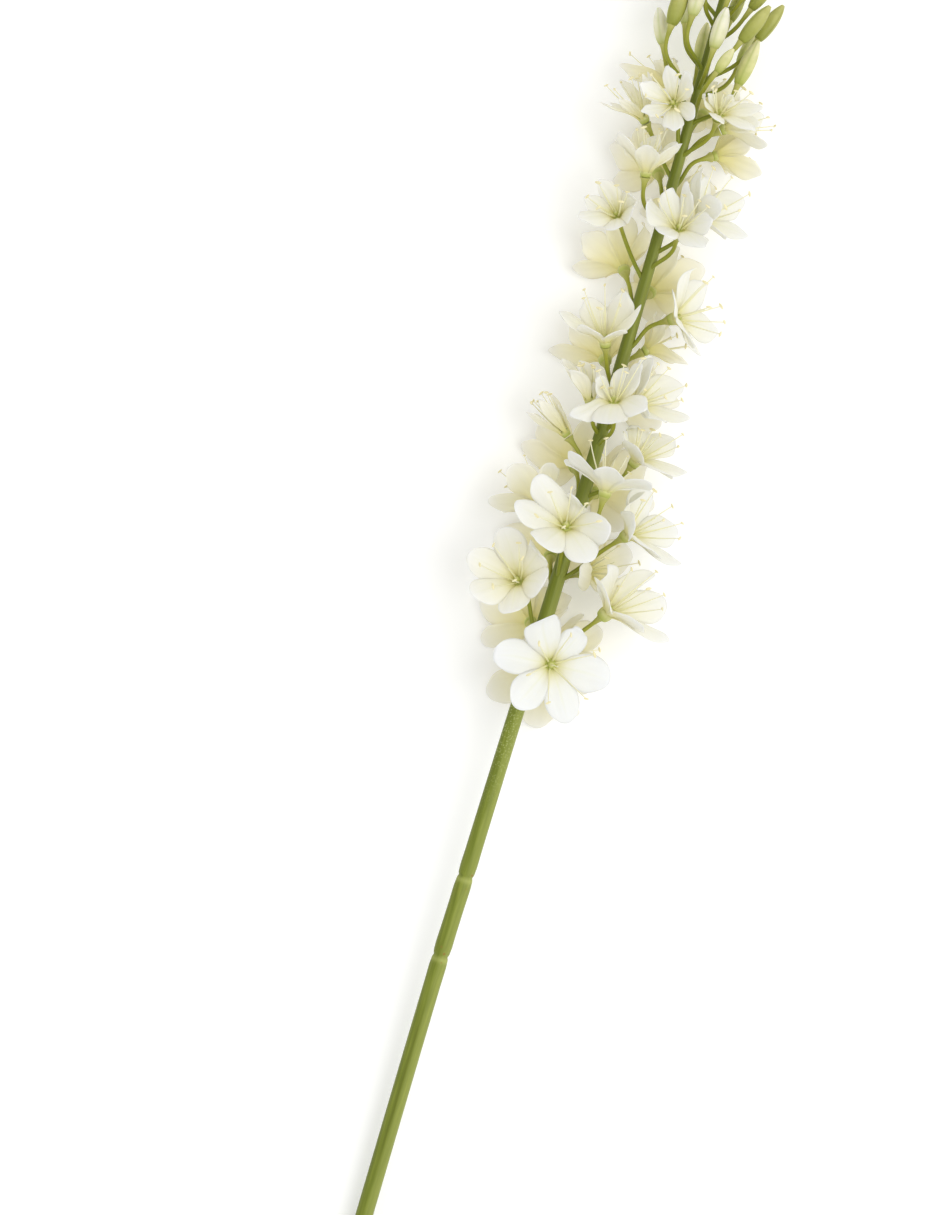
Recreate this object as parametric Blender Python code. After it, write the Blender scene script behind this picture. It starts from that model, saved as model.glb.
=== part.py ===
"""Foxtail lily flower spike, cut and laid on its side.

The stalk lies along +Y, its cut end at -Y, on a surface at z = 0. X runs to the right, Z up.
It rests on its cut end and on the petals under the spike.
The tables are in millimetres: u runs along the stalk, v across it to the right, both as seen
from above, and h is the height above the stalk's middle line. Meshes are made in metres.
"""
import math
import random

import bpy
import bmesh
from mathutils import Vector, geometry

MM = 0.001
SEED = 11

# The stalk: u, v and z of its middle line, and its radius.
STALK = [
    (-105, -0.3, 3.15, 3.1),
    (0, -0.4, 8.6, 3.1),
    (93, -0.4, 13.8, 3.05),
    (124, 0.1, 15.6, 3.0),
    (173, 0.7, 18.4, 2.85),
    (222, 1.5, 21.0, 2.7),
    (279, 1.8, 23.4, 2.45),
    (356, 1.4, 25.6, 2.1),
    (400, 0.7, 26.2, 1.9),
    (443, 0.0, 26.4, 1.6),
    (500, -0.8, 26.0, 1.1),
    (548, -1.2, 25.0, 0.6),
]
ORIGIN_U = 224.5
ORIGIN_V = 3.8
STALK_SIDES = 8
STALK_STEP = 30.0
JOINTS = [(94.0, 0.86), (123.3, 0.88)]
JOINT_HALF_WIDTH = 2.4

# Open flowers. u, v, h is where the petals join. turn is the way the flower faces round the
# stalk (0 up, 90 right), lift its angle from the stalk, spread the petals' angle from the
# flower's own axis, roll the first petal's place round that axis, size the petals' scale.
# flare is how much further the petal furthest from the stalk's tip opens, and the last figure
# is the petals' width as a share of a wide petal's.
FLOWERS = [
    (203.2, 7.5, 14.0, 12, 90, 84, 27, 1.08, 0, 1.0),
    (228.0, -11.6, 11.0, -25, 74, 56, 34, 1.00, 0, 1.0),
    (226.4, 21.8, 4.5, 60, 40, 60, 30, 1.20, 0, 1.0),
    (207.0, 9.0, -9.0, 150, 78, 64, 20, 0.92, 0, 1.0),
    (254.5, 21.0, 6.0, 60, 46, 66, 30, 1.05, 0, 1.0),
    (250.7, -1.0, 17.0, -5, 62, 66, 20, 1.04, 0, 1.0),
    (256.3, -11.5, -4.0, -135, 55, 62, 10, 0.92, 0, 1.0),
    (266.7, 8.8, 16.5, 180, 5, 68, 0, 1.00, 0, 1.0),
    (280.2, 16.2, 6.0, 42, 30, 58, 0, 0.96, 20, 1.0),
    (282.9, -10.9, 0.0, -85, 52, 26, 30, 0.80, 0, 0.45),
    (296.9, 2.9, 14.0, -30, 32, 64, -25, 1.00, 40, 1.0),
    (296.3, -5.6, 7.0, -60, 26, 24, 16, 0.88, 0, 0.6),
    (298.9, 11.2, 7.0, 50, 46, 60, 0, 0.96, 15, 1.0),
    (317.0, -6.2, 11.0, -35, 32, 52, 0, 0.95, 0, 1.0),
    (319.0, 9.5, -7.0, 105, 46, 50, 10, 0.84, 0, 1.0),
    (331.5, 15.4, 4.0, 68, 60, 62, 45, 0.98, 15, 1.0),
    (361.0, 7.4, 12.5, -5, 45, 66, 20, 0.94, 0, 0.92),
    (366.7, 13.8, 6.0, 38, 45, 64, 0, 0.98, 0, 1.0),
    (360.0, -14.5, 6.0, -28, 58, 60, 30, 0.80, 0, 1.0),
    (377.8, -9.2, 10.0, -30, 15, 44, 30, 0.92, 0, 0.9),
    (391.0, 13.5, -8.5, 122, 62, 50, 0, 0.84, 0, 1.0),
    (400.5, 13.8, 0.5, 86, 50, 56, 30, 0.90, 0, 0.9),
    (403.4, 9.8, 12.0, 6, 42, 56, 14, 0.90, 12, 0.64),
    (402.4, -6.7, 13.0, -14, 84, 64, -20, 0.82, 0, 0.74),
    (396.0, -15.5, 0.0, -72, 44, 48, 0, 0.86, 0, 0.42),
    # The side that the surface holds.
    (199.5, 5.0, -10.5, 176, 85, 70, 10, 1.08, 0, 1.0),
    (215.5, -3.0, -11.0, -172, 74, 64, 30, 1.03, 0, 1.0),
    (238.0, 10.5, -7.0, 60, 60, 68, 5, 1.05, 0, 1.0),
    (240.0, -3.0, -12.0, -172, 64, 64, 25, 1.10, 0, 1.0),
    (266.0, 6.0, -13.0, 165, 60, 62, 15, 1.10, 0, 1.0),
    (273.0, -4.0, -11.5, -158, 56, 60, 0, 1.08, 0, 1.0),
    (303.0, 5.0, -12.5, 165, 62, 62, 30, 1.08, 0, 1.0),
    (312.0, -4.5, -10.5, -150, 48, 56, 20, 1.08, 0, 1.0),
    (339.0, 4.5, -12.5, 168, 60, 60, 0, 1.06, 0, 1.0),
    (344.0, -7.0, -10.0, -148, 50, 56, 30, 1.01, 0, 1.0),
    (371.0, 4.0, -12.0, 170, 58, 58, 10, 1.06, 0, 1.0),
    (380.0, -5.0, -11.0, -160, 54, 56, 40, 1.03, 0, 1.0),
    (404.0, 5.0, -10.5, 160, 52, 54, 20, 1.01, 0, 0.9),
    (410.0, -9.0, -6.0, -130, 44, 50, 0, 1.01, 0, 0.8),
]

# Larger buds, each its own piece. u, v, h of the foot, then how far along and across the tip
# lies from it, and the bud's thickness. The last figure is its colour.
BUDS = [
    (422.5, -16.0, 1.0, 11.5, -5.0, -0.5, 5.4, "white"),
    (429.2, -15.0, 8.0, 15.0, 0.6, 1.0, 6.2, "green"),
    (434.2, -9.0, 10.0, 14.5, 0.0, 1.0, 5.8, "white"),
    (425.2, 1.4, 11.5, 14.3, 0.4, 1.0, 5.6, "white"),
    (442.4, 10.2, 6.5, 13.0, 5.0, 1.5, 5.0, "green"),
    (430.3, 10.0, 10.5, 14.0, 6.0, 1.5, 5.4, "green"),
    (433.2, 15.6, 3.0, 13.5, 5.0, 0.5, 5.0, "green"),
    (416.0, 13.2, 6.5, 16.0, 2.4, 0.5, 5.6, "cream"),
    (417.5, 4.8, 13.5, 8.6, 3.2, 2.0, 4.0, "cream"),
    (424.0, 12.0, -6.0, 13.5, 3.0, -3.0, 5.2, "cream"),
    (421.0, -2.0, -10.5, 14.0, -1.0, -3.0, 5.2, "cream"),
    (432.0, -10.5, -4.5, 13.0, -3.5, -3.0, 5.0, "white"),
    (438.0, 4.5, -9.5, 13.0, 1.5, -3.5, 4.8, "green"),
    (446.0, -7.5, 7.0, 12.5, -3.0, 2.0, 4.6, "green"),
    (444.0, 1.5, 11.0, 12.5, 0.8, 2.2, 4.6, "green"),
    (449.0, -9.0, -3.5, 12.0, -3.5, -2.5, 4.4, "green"),
    (451.0, 8.5, -3.5, 12.0, 3.5, -2.5, 4.4, "green"),
]

# The green buds of the tip, on a spiral, shrinking towards the end of the stalk. Pairs are the
# first bud's value and the last one's.
TIP_BUDS = 24
TIP_START = 446.0
TIP_END = 549.0
TIP_FIRST = 40.0
TIP_TURN = 137.5
TIP_TURN_SPREAD = 12.0
TIP_REACH = (10.5, 2.2)
TIP_LENGTH = (11.0, 4.6)
TIP_RADIUS = (2.0, 1.1)
TIP_LEAN = (0.32, 0.14)
TIP_STEM = (0.8, 0.55)
TIP_SIDES = 5

# A petal, and how the flower holds it. The two whorls differ in spread and width.
PETAL_LENGTH = 18.6
PETAL_WIDTH = 12.2
PETAL_THICK = 0.72
PETAL_ROWS = (0.38, 0.72)
PETAL_BLUNT = 0.36
PETAL_DISH = 0.16
PETAL_WIDEST = 0.6
PETAL_FOOT_WIDTH = 0.17
PETAL_RISE = 0.55
PETAL_OPENED = 0.3
TIP_TURNS_FROM = 52.0
TIP_TURNS_BY = 0.45
WHORLS = ((4.0, 0.94), (-4.0, 1.04))
GROWTH_STEPS = 18

# The triangles of a petal's plate, on its eleven points: three at the root, two rows of three,
# and two at the tip. A petal whose plate would fold over grows smaller.
PETAL_SKIN = (
    (0, 1, 4), (0, 4, 3), (1, 2, 4), (2, 5, 4),
    (3, 4, 7), (3, 7, 6), (4, 5, 7), (5, 8, 7),
    (6, 7, 9), (7, 8, 10), (7, 10, 9),
)
PETAL_EDGE = (0, 3, 6, 9, 10, 8, 5, 2)
PETAL_SHRINK = 0.92
PETAL_LEAST = 0.3
PETAL_OPEN = 0.22
PLATE_LEAST = 4.0

# The flower's centre: height and radius of its foot, the rings that the petals grow from,
# and its head, which the stamens rise from.
FOOT = (-2.4, 1.6)
RING_BELOW = (-0.5, 2.3)
RING_ABOVE = (0.5, 2.0)
HEAD_HEIGHT = 1.0
STAMEN_LENGTH = 19.0
STAMEN_SPREAD = 0.34
CUP_RADIUS = 1.9
CUP_LENGTH = 4.4
SEAT_GAP = 0.3

# Flower stalks.
PEDICEL_SIDES = 4
PEDICEL_RADIUS = 0.95
PEDICEL_LEAVE = 48.0
PEDICEL_REACH = 1.15
PEDICEL_DROP = 2.0
PEDICEL_PULL = 0.36
PEDICEL_POINTS = 12

# Room between neighbours, measured from the middle of a petal.
WALL_GAP = 0.75
PETAL_GAP = 0.42
WALL_SOFT = 7.0
EDGE_SOFT = 1.2
EDGE_ROUNDS = 4
FLOOR_GAP = PETAL_THICK / 2
CORE_LOW = 9.0
CORE_HIGH = 6.0
CORE_SPAN = (190.0, 430.0)
NEIGHBOUR_RANGE = 52.0
HEART_AHEAD = 7.0
CUP_ROOM = 2.6
STALK_ROOM = 2.0
STAMEN_ROOM = 0.3
STAMEN_CLEAR = 1.5
STAMEN_LEAST = 2.0


def clear_scene():
    for item in list(bpy.data.objects):
        bpy.data.objects.remove(item, do_unlink=True)


def blend(pair, t):
    """From pair[0] to pair[1] as t goes from 0 to 1."""
    t = min(max(t, 0.0), 1.0)
    return pair[0] + (pair[1] - pair[0]) * t


def stalk_at(u):
    """v, z and radius of the stalk at u, on a smooth curve through STALK."""
    rows = STALK
    i = 0
    while i < len(rows) - 2 and rows[i + 1][0] < u:
        i += 1
    before = rows[max(i - 1, 0)]
    a, b = rows[i], rows[i + 1]
    after = rows[min(i + 2, len(rows) - 1)]
    span = b[0] - a[0]
    t = (u - a[0]) / span
    values = []
    for k in (1, 2, 3):
        slope_a = (b[k] - before[k]) / (b[0] - before[0]) * span
        slope_b = (after[k] - a[k]) / (after[0] - a[0]) * span
        t2, t3 = t * t, t * t * t
        value = (2 * t3 - 3 * t2 + 1) * a[k] + (t3 - 2 * t2 + t) * slope_a
        value += (3 * t2 - 2 * t3) * b[k] + (t3 - t2) * slope_b
        values.append(value)
    return values


def place(u, v, h):
    """A table's u, v, h as a point in millimetres, z from the surface."""
    return Vector((v - ORIGIN_V, u - ORIGIN_U, stalk_at(u)[1] + h))


def stalk_point(u):
    v, z, _ = stalk_at(u)
    return Vector((v - ORIGIN_V, u - ORIGIN_U, z))


def stalk_direction(u):
    return (stalk_point(u + 1.0) - stalk_point(u - 1.0)).normalized()


def across(axis, angle):
    """The direction at angle round axis, 0 being the side nearest the stalk's tip."""
    ahead = Vector((0, 1, 0))
    first = (ahead - axis * ahead.dot(axis)).normalized()
    second = first.cross(axis)
    return first * math.cos(angle) + second * math.sin(angle)


class Flower:
    def __init__(self, row):
        u, v, h, turn, lift, spread, roll, size, flare, width = row
        self.u = u
        self.foot = place(u, v, h)
        self.spread = spread
        self.roll = roll
        self.size = size
        self.flare = flare
        self.width = width
        turn, lift = math.radians(turn), math.radians(lift)
        side = Vector((math.sin(turn), 0, math.cos(turn)))
        self.axis = (stalk_direction(u) * math.cos(lift) + side * math.sin(lift)).normalized()
        self.heart = self.foot + self.axis * HEART_AHEAD
        self.stalk = pedicel_path(self.seat(), self.axis, u)
        self.own = [self.seat() - self.axis * CUP_LENGTH, self.foot + self.axis * HEAD_HEIGHT]

    def seat(self):
        return self.foot + self.axis * (FOOT[0] - SEAT_GAP)


class Bud:
    def __init__(self, row):
        u, v, h, along, side, up, width, colour = row
        self.u = u
        self.foot = place(u, v, h)
        self.tip = self.foot + Vector((side, along, up))
        self.axis = (self.tip - self.foot).normalized()
        self.width = width
        self.colour = colour
        self.heart = (self.foot + self.tip) / 2
        self.stalk = pedicel_path(self.foot - self.axis * SEAT_GAP, self.axis, u)
        self.own = [self.foot - self.axis * CUP_LENGTH, self.tip]


def pedicel_path(end, axis, u):
    """Points of a flower stalk that leaves the scape at an angle and turns into axis."""
    root = stalk_point(u)
    reach = (Vector((end.x, 0, end.z)) - Vector((root.x, 0, root.z))).length
    root_u = u - reach * PEDICEL_REACH - PEDICEL_DROP
    root = stalk_point(root_u)
    out = end - root
    out.y = 0.0
    out.normalize()
    leave = math.radians(PEDICEL_LEAVE)
    start = stalk_direction(root_u) * math.cos(leave) + out * math.sin(leave)
    pull = (end - root).length * PEDICEL_PULL
    cup = end - axis * CUP_LENGTH
    control = (root, root + start * pull, cup - axis * pull, cup)
    points = [bezier(control, i / PEDICEL_POINTS) for i in range(PEDICEL_POINTS + 1)]
    return points + [end]


def bezier(control, t):
    a, b, c, d = control
    s = 1.0 - t
    return a * s ** 3 + b * (3 * s * s * t) + c * (3 * s * t * t) + d * t ** 3


def core_radius(u):
    """How far petals keep from the scape's middle, to leave room for the flower stalks."""
    t = (u - CORE_SPAN[0]) / (CORE_SPAN[1] - CORE_SPAN[0])
    return blend((CORE_LOW, CORE_HIGH), t)


def wall_between(one, other):
    """A plane that keeps one off other: a point on it, and its normal towards one."""
    normal = (one.heart - other.heart).normalized()
    middle = normal.dot(one.heart + other.heart) / 2
    most = min(normal.dot(point) for point in one.own) - CUP_ROOM
    least = max(normal.dot(point) for point in other.own) + CUP_ROOM
    if least > most:
        middle = (least + most) / 2
    else:
        middle = min(max(middle, least), most)
    return normal * middle, normal


class Room:
    """What a flower has to keep clear of: its neighbours, their stalks, the scape, the surface."""

    def __init__(self, item, items):
        near = [other for other in items if other is not item]
        near = [other for other in near if (other.heart - item.heart).length < NEIGHBOUR_RANGE]
        self.walls = [wall_between(item, other) for other in near]
        self.stalks = [other.stalk for other in near]

    def depths(self, point):
        """How far the point lies inside each bound, with that bound's normal."""
        found = [((point - on).dot(normal) - WALL_GAP, normal) for on, normal in self.walls]
        found.append((point.z - FLOOR_GAP, Vector((0, 0, 1))))
        for stalk in self.stalks:
            away = min((point - spot for spot in stalk), key=lambda gap: gap.length_squared)
            found.append((away.length - STALK_ROOM, away.normalized()))
        u = point.y + ORIGIN_U
        middle = stalk_point(u)
        away = Vector((point.x - middle.x, 0, point.z - middle.z))
        found.append((away.length - core_radius(u), away.normalized()))
        return found


def grow(start, bend, length, room, side, half_width):
    """Grow a middle line from start, turning away from what it comes near.

    bend(s) gives its free direction. Returns (point, direction, side) at each step.
    """
    point = start.copy()
    line = []
    for i in range(GROWTH_STEPS + 1):
        s = i / GROWTH_STEPS
        heading = bend(s)
        level = side.copy()
        for depth, normal in room.depths(point):
            spare = depth - half_width(s) * abs(level.dot(normal)) * 0.5
            close = min(max(1.0 - spare / WALL_SOFT, 0.0), 1.0)
            heading = heading + normal * (max(-heading.dot(normal), 0.0) * close)
            level = level - normal * (level.dot(normal) * close * 0.6)
        if heading.length < 0.2:
            heading = bend(s) * 0.5 + heading
        heading.normalize()
        level = level - heading * level.dot(heading)
        if level.length < 0.1:
            level = side - heading * side.dot(heading)
        level.normalize()
        line.append((point.copy(), heading, level))
        point = point + heading * (length / GROWTH_STEPS)
    return line


def line_at(line, s):
    place_on = min(max(s, 0.0), 1.0) * GROWTH_STEPS
    i = min(int(place_on), GROWTH_STEPS - 1)
    t = place_on - i
    values = [line[i][k].lerp(line[i + 1][k], t) for k in range(3)]
    return values[0], values[1].normalized(), values[2].normalized()


def wedge_walls(flower, outward, side):
    """The two planes that keep a petal off the petals beside it."""
    half = math.pi / 6
    lean = outward * math.sin(half)
    return [(flower.foot, lean + side * math.cos(half)), (flower.foot, lean - side * math.cos(half))]


def kept_inside(point, room, wedge=()):
    """The point, pushed back softly from any bound that it has reached."""
    for _ in range(EDGE_ROUNDS):
        found = room.depths(point)
        found += [((point - on).dot(normal) - PETAL_GAP, normal) for on, normal in wedge]
        for depth, normal in found:
            if depth < EDGE_SOFT:
                point = point + normal * (EDGE_SOFT * math.exp(depth / EDGE_SOFT - 1.0) - depth)
    return point


def petal_width(s):
    """Half width of a petal along its length, as a share of its full width."""
    if s < PETAL_WIDEST:
        rise = math.sin(math.pi / 2 * s / PETAL_WIDEST)
        return 0.5 * blend((PETAL_FOOT_WIDTH, 1.0), rise)
    past = (s - PETAL_WIDEST) / (1.0 - PETAL_WIDEST)
    return 0.5 * math.sqrt(max(1.0 - past * past, 0.0))


def petal_bend(axis, outward, spread):
    """The free direction along a petal: it rises from the cup, opens, and its tip turns out."""
    def bend(s):
        opened = blend((PETAL_RISE, 1.0), s / PETAL_OPENED)
        tip = (spread - TIP_TURNS_FROM) * TIP_TURNS_BY * max(s - PETAL_OPENED, 0.0)
        angle = math.radians(spread * opened + tip)
        return axis * math.cos(angle) + outward * math.sin(angle)
    return bend


def petal_plate(flower, k, room, size):
    """The eleven points of petal k, at a size."""
    lean, wide = WHORLS[k % 2]
    turn = math.radians(flower.roll + 60.0 * k)
    outward = across(flower.axis, turn)
    side = flower.axis.cross(outward).normalized()
    width = PETAL_WIDTH * wide * size * flower.width
    wedge = wedge_walls(flower, outward, side)

    def half_width(s):
        return petal_width(s) * width

    root = (RING_ABOVE[1] + RING_BELOW[1]) / 2
    points = [flower.foot + across(flower.axis, turn + off) * root for off in (-math.pi / 6, 0, math.pi / 6)]
    spread = flower.spread + lean + flower.flare * (1.0 - math.cos(turn)) / 2
    bend = petal_bend(flower.axis, outward, spread)
    start = flower.foot + outward * RING_ABOVE[1]
    line = grow(start, bend, PETAL_LENGTH * size, room, side, half_width)
    for s in PETAL_ROWS:
        point, heading, level = line_at(line, s)
        inner = level.cross(heading).normalized()
        edge = level * half_width(s)
        dish = inner * (PETAL_DISH * half_width(s))
        points += [kept_inside(spot, room, wedge) for spot in (point + edge + dish, point, point - edge + dish)]
    point, _, level = line_at(line, 1.0)
    blunt = level * (width / 2 * PETAL_BLUNT)
    return points + [kept_inside(spot, room, wedge) for spot in (point + blunt, point - blunt)]


def face_normals(points):
    """The normals of a petal's triangles, as long as twice their areas."""
    corners = [(points[i], points[j], points[k]) for i, j, k in PETAL_SKIN]
    return [(q - p).cross(r - p) for p, q, r in corners]


def lies_open(points, flower, size):
    """Whether a petal's plate opens away from the axis and is nowhere folded over or pinched."""
    normals = face_normals(points)
    mean = sum(normals, Vector()).normalized()
    least = PLATE_LEAST * size * size * flower.width
    if mean.dot(flower.axis) < PETAL_OPEN or min(n.length for n in normals) < least:
        return False
    return min(n.normalized().dot(mean) for n in normals) > PETAL_OPEN


def petal_points(flower, k, room):
    """The points of petal k, grown as large as it can lie open in its room."""
    size = flower.size
    points = petal_plate(flower, k, room, size)
    while size > PETAL_LEAST and not lies_open(points, flower, size):
        size *= PETAL_SHRINK
        points = petal_plate(flower, k, room, size)
    return points


def stamen_tip(flower, angle, room, petals):
    """The end of a straight stamen, as long as there is room for."""
    tilt = math.radians(flower.spread * STAMEN_SPREAD)
    heading = flower.axis * math.cos(tilt) + across(flower.axis, angle) * math.sin(tilt)
    start = flower.foot + flower.axis * HEAD_HEIGHT
    length = STAMEN_LENGTH * flower.size
    for points in petals:
        for i, j, k in PETAL_SKIN:
            hit = geometry.intersect_ray_tri(points[i], points[j], points[k], heading, start)
            if hit:
                length = min(length, (hit - start).length - STAMEN_CLEAR)
    while length > STAMEN_LEAST:
        if min(depth for depth, _ in room.depths(start + heading * length)) > STAMEN_ROOM:
            break
        length -= 1.0
    return start + heading * max(length, STAMEN_LEAST)


def ring(centre, axis, radius, sides, turn=0.0):
    return [centre + across(axis, 2 * math.pi * i / sides + turn) * radius for i in range(sides)]


def tube(rings):
    """A closed body through rings of points, with its two ends closed flat."""
    sides = len(rings[0])
    points = [point for loop in rings for point in loop]
    faces = []
    for r in range(len(rings) - 1):
        for i in range(sides):
            j = (i + 1) % sides
            a, b = r * sides + i, r * sides + j
            faces.append((a, a + sides, b + sides, b))
    last = (len(rings) - 1) * sides
    faces.append(tuple(range(sides)))
    faces.append(tuple(reversed(range(last, last + sides))))
    return points, faces


def solid_object(name, points, faces, skin=None):
    mesh = bpy.data.meshes.new(name)
    mesh.from_pydata([point * MM for point in points], [], faces)
    shape = bmesh.new()
    shape.from_mesh(mesh)
    bmesh.ops.recalc_face_normals(shape, faces=shape.faces)
    bmesh.ops.triangulate(shape, faces=shape.faces)
    if shape.calc_volume(signed=True) < 0:
        bmesh.ops.reverse_faces(shape, faces=shape.faces)
    shape.to_mesh(mesh)
    shape.free()
    item = bpy.data.objects.new(name, mesh)
    bpy.context.scene.collection.objects.link(item)
    if skin:
        mesh.materials.append(skin)
    return item


def fuse(name, pieces, skin):
    """Join pieces into one closed body called name."""
    first = pieces[0]
    others = bpy.data.collections.new(name + "_pieces")
    for piece in pieces[1:]:
        others.objects.link(piece)
    join = first.modifiers.new("join", "BOOLEAN")
    join.operation = "UNION"
    join.operand_type = "COLLECTION"
    join.collection = others
    join.solver = "MANIFOLD"
    bpy.context.view_layer.update()
    graph = bpy.context.evaluated_depsgraph_get()
    mesh = bpy.data.meshes.new_from_object(first.evaluated_get(graph))
    for piece in pieces:
        bpy.data.objects.remove(piece, do_unlink=True)
    bpy.data.collections.remove(others)
    keep_outer_body(mesh)
    mesh.name = name
    mesh.materials.clear()
    mesh.materials.append(skin)
    item = bpy.data.objects.new(name, mesh)
    bpy.context.scene.collection.objects.link(item)


def keep_outer_body(mesh):
    """Drop sealed hollows and loose scraps that joining left, keeping the largest body."""
    shape = bmesh.new()
    shape.from_mesh(mesh)
    unseen = set(shape.faces)
    bodies = []
    while unseen:
        body = {unseen.pop()}
        edge = list(body)
        while edge:
            face = edge.pop()
            for side in face.edges:
                for near in side.link_faces:
                    if near in unseen:
                        unseen.remove(near)
                        body.add(near)
                        edge.append(near)
        bodies.append(body)
    largest = max(bodies, key=lambda body: sum(face.calc_area() for face in body))
    extra = [face for body in bodies if body is not largest for face in body]
    bmesh.ops.delete(shape, geom=extra, context="FACES")
    bmesh.ops.triangulate(shape, faces=shape.faces)
    shape.to_mesh(mesh)
    shape.free()


def material(name, colour, roughness):
    made = bpy.data.materials.new(name)
    made.use_nodes = True
    shader = made.node_tree.nodes["Principled BSDF"]
    shader.inputs["Base Color"].default_value = (*colour, 1.0)
    shader.inputs["Roughness"].default_value = roughness
    shader.inputs["Metallic"].default_value = 0.0
    made.diffuse_color = (*colour, 1.0)
    return made


class Shape:
    """Points and faces, gathered one by one."""

    def __init__(self):
        self.points = []
        self.faces = []

    def add(self, point):
        self.points.append(point)
        return len(self.points) - 1

    def ring(self, middle, axis, radius, count, turn):
        return [self.add(point) for point in ring(middle, axis, radius, count, turn)]


def flower_object(name, flower, room, petal_material):
    """Six petals and six stamens in one skin, round a small centre."""
    shape = Shape()
    turn = math.radians(flower.roll)
    rings = []
    for (height, radius), count in ((FOOT, 6), (RING_BELOW, 12), (RING_ABOVE, 12)):
        middle = flower.foot + flower.axis * height
        rings.append(shape.ring(middle, flower.axis, radius, count, turn))
    foot, below, above = rings
    head = shape.add(flower.foot + flower.axis * HEAD_HEIGHT)
    shape.faces.append(tuple(foot))
    petals = [petal_points(flower, k, room) for k in range(6)]
    for k in range(6):
        mid, corner, next_mid = 2 * k, 2 * k + 1, (2 * k + 2) % 12
        next_foot = foot[(k + 1) % 6]
        shape.faces += [
            (foot[k], below[mid], below[corner]),
            (foot[k], below[corner], next_foot),
            (next_foot, below[corner], below[next_mid]),
        ]
        tip = shape.add(stamen_tip(flower, turn + math.radians(60.0 * k + 30.0), room, petals))
        shape.faces += [
            (head, above[mid], tip),
            (above[mid], above[corner], tip),
            (above[corner], above[next_mid], tip),
            (above[next_mid], head, tip),
        ]
        roots = [(ring_ids[(mid - 1) % 12], ring_ids[mid], ring_ids[corner]) for ring_ids in (above, below)]
        add_petal(shape, roots, petals[k])
    return solid_object(name, shape.points, shape.faces, petal_material)


def add_petal(shape, roots, points):
    """A plate of PETAL_THICK on a petal's points, from the root points above and below."""
    normals = [Vector() for _ in points]
    for face, normal in zip(PETAL_SKIN, face_normals(points)):
        for i in face:
            normals[i] += normal
    sheets = []
    for root, sign in zip(roots, (1, -1)):
        lift = sign * PETAL_THICK / 2
        rest = [shape.add(points[i] + normals[i].normalized() * lift) for i in range(3, len(points))]
        sheets.append(list(root) + rest)
    top, bottom = sheets
    shape.faces += [tuple(top[i] for i in face) for face in PETAL_SKIN]
    shape.faces += [tuple(bottom[i] for i in reversed(face)) for face in PETAL_SKIN]
    for a, b in zip(PETAL_EDGE, PETAL_EDGE[1:]):
        shape.faces += [(top[a], top[b], bottom[b]), (top[a], bottom[b], bottom[a])]


def bud_rings(foot, axis, length, width, sides):
    shape = ((0.0, 0.42), (0.25, 0.88), (0.6, 0.98), (1.0, 0.16))
    return [ring(foot + axis * (length * s), axis, width / 2 * r, sides) for s, r in shape]


def bud_object(name, bud, bud_material):
    length = (bud.tip - bud.foot).length
    rings = bud_rings(bud.foot, bud.axis, length, bud.width, 6)
    return solid_object(name, *tube(rings), bud_material)


def stalk_rings():
    """Rings of the scape, close together at its joints."""
    first, last = STALK[0][0], STALK[-1][0]
    count = round((last - first) / STALK_STEP)
    stations = {first + (last - first) * i / count: 1.0 for i in range(count + 1)}
    for joint, narrow in JOINTS:
        near = [u for u in stations if abs(u - joint) < JOINT_HALF_WIDTH * 2]
        for u in near:
            del stations[u]
        stations[joint - JOINT_HALF_WIDTH] = 1.0
        stations[joint] = narrow
        stations[joint + JOINT_HALF_WIDTH] = 1.0
    rings = []
    for u in sorted(stations):
        radius = stalk_at(u)[2] * stations[u]
        middle, along = stalk_point(u), stalk_direction(u)
        side = along.cross(Vector((0, 0, 1))).normalized()
        up = side.cross(along)
        loop = []
        for i in range(STALK_SIDES):
            angle = 2 * math.pi * (i + 0.5) / STALK_SIDES
            loop.append(middle + (side * math.cos(angle) + up * math.sin(angle)) * radius)
        rings.append(loop)
    lowest = min(point.z for point in rings[0])
    rings[0] = [point - Vector((0, 0, lowest)) for point in rings[0]]
    return rings


def pedicel_piece(path, cup_radius, sides=PEDICEL_SIDES):
    """A flower stalk, from inside the scape to the cup that holds the flower."""
    last = len(path) - 1
    picks = (0, last // 2, last - 1, last)
    radii = (1.1, 1.0, 1.0, cup_radius / PEDICEL_RADIUS)
    rings = []
    for pick, share in zip(picks, radii):
        before, after = path[max(pick - 1, 0)], path[min(pick + 1, last)]
        along = (after - before).normalized()
        rings.append(ring(path[pick], along, PEDICEL_RADIUS * share, sides))
    return solid_object("pedicel", *tube(rings))


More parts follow.
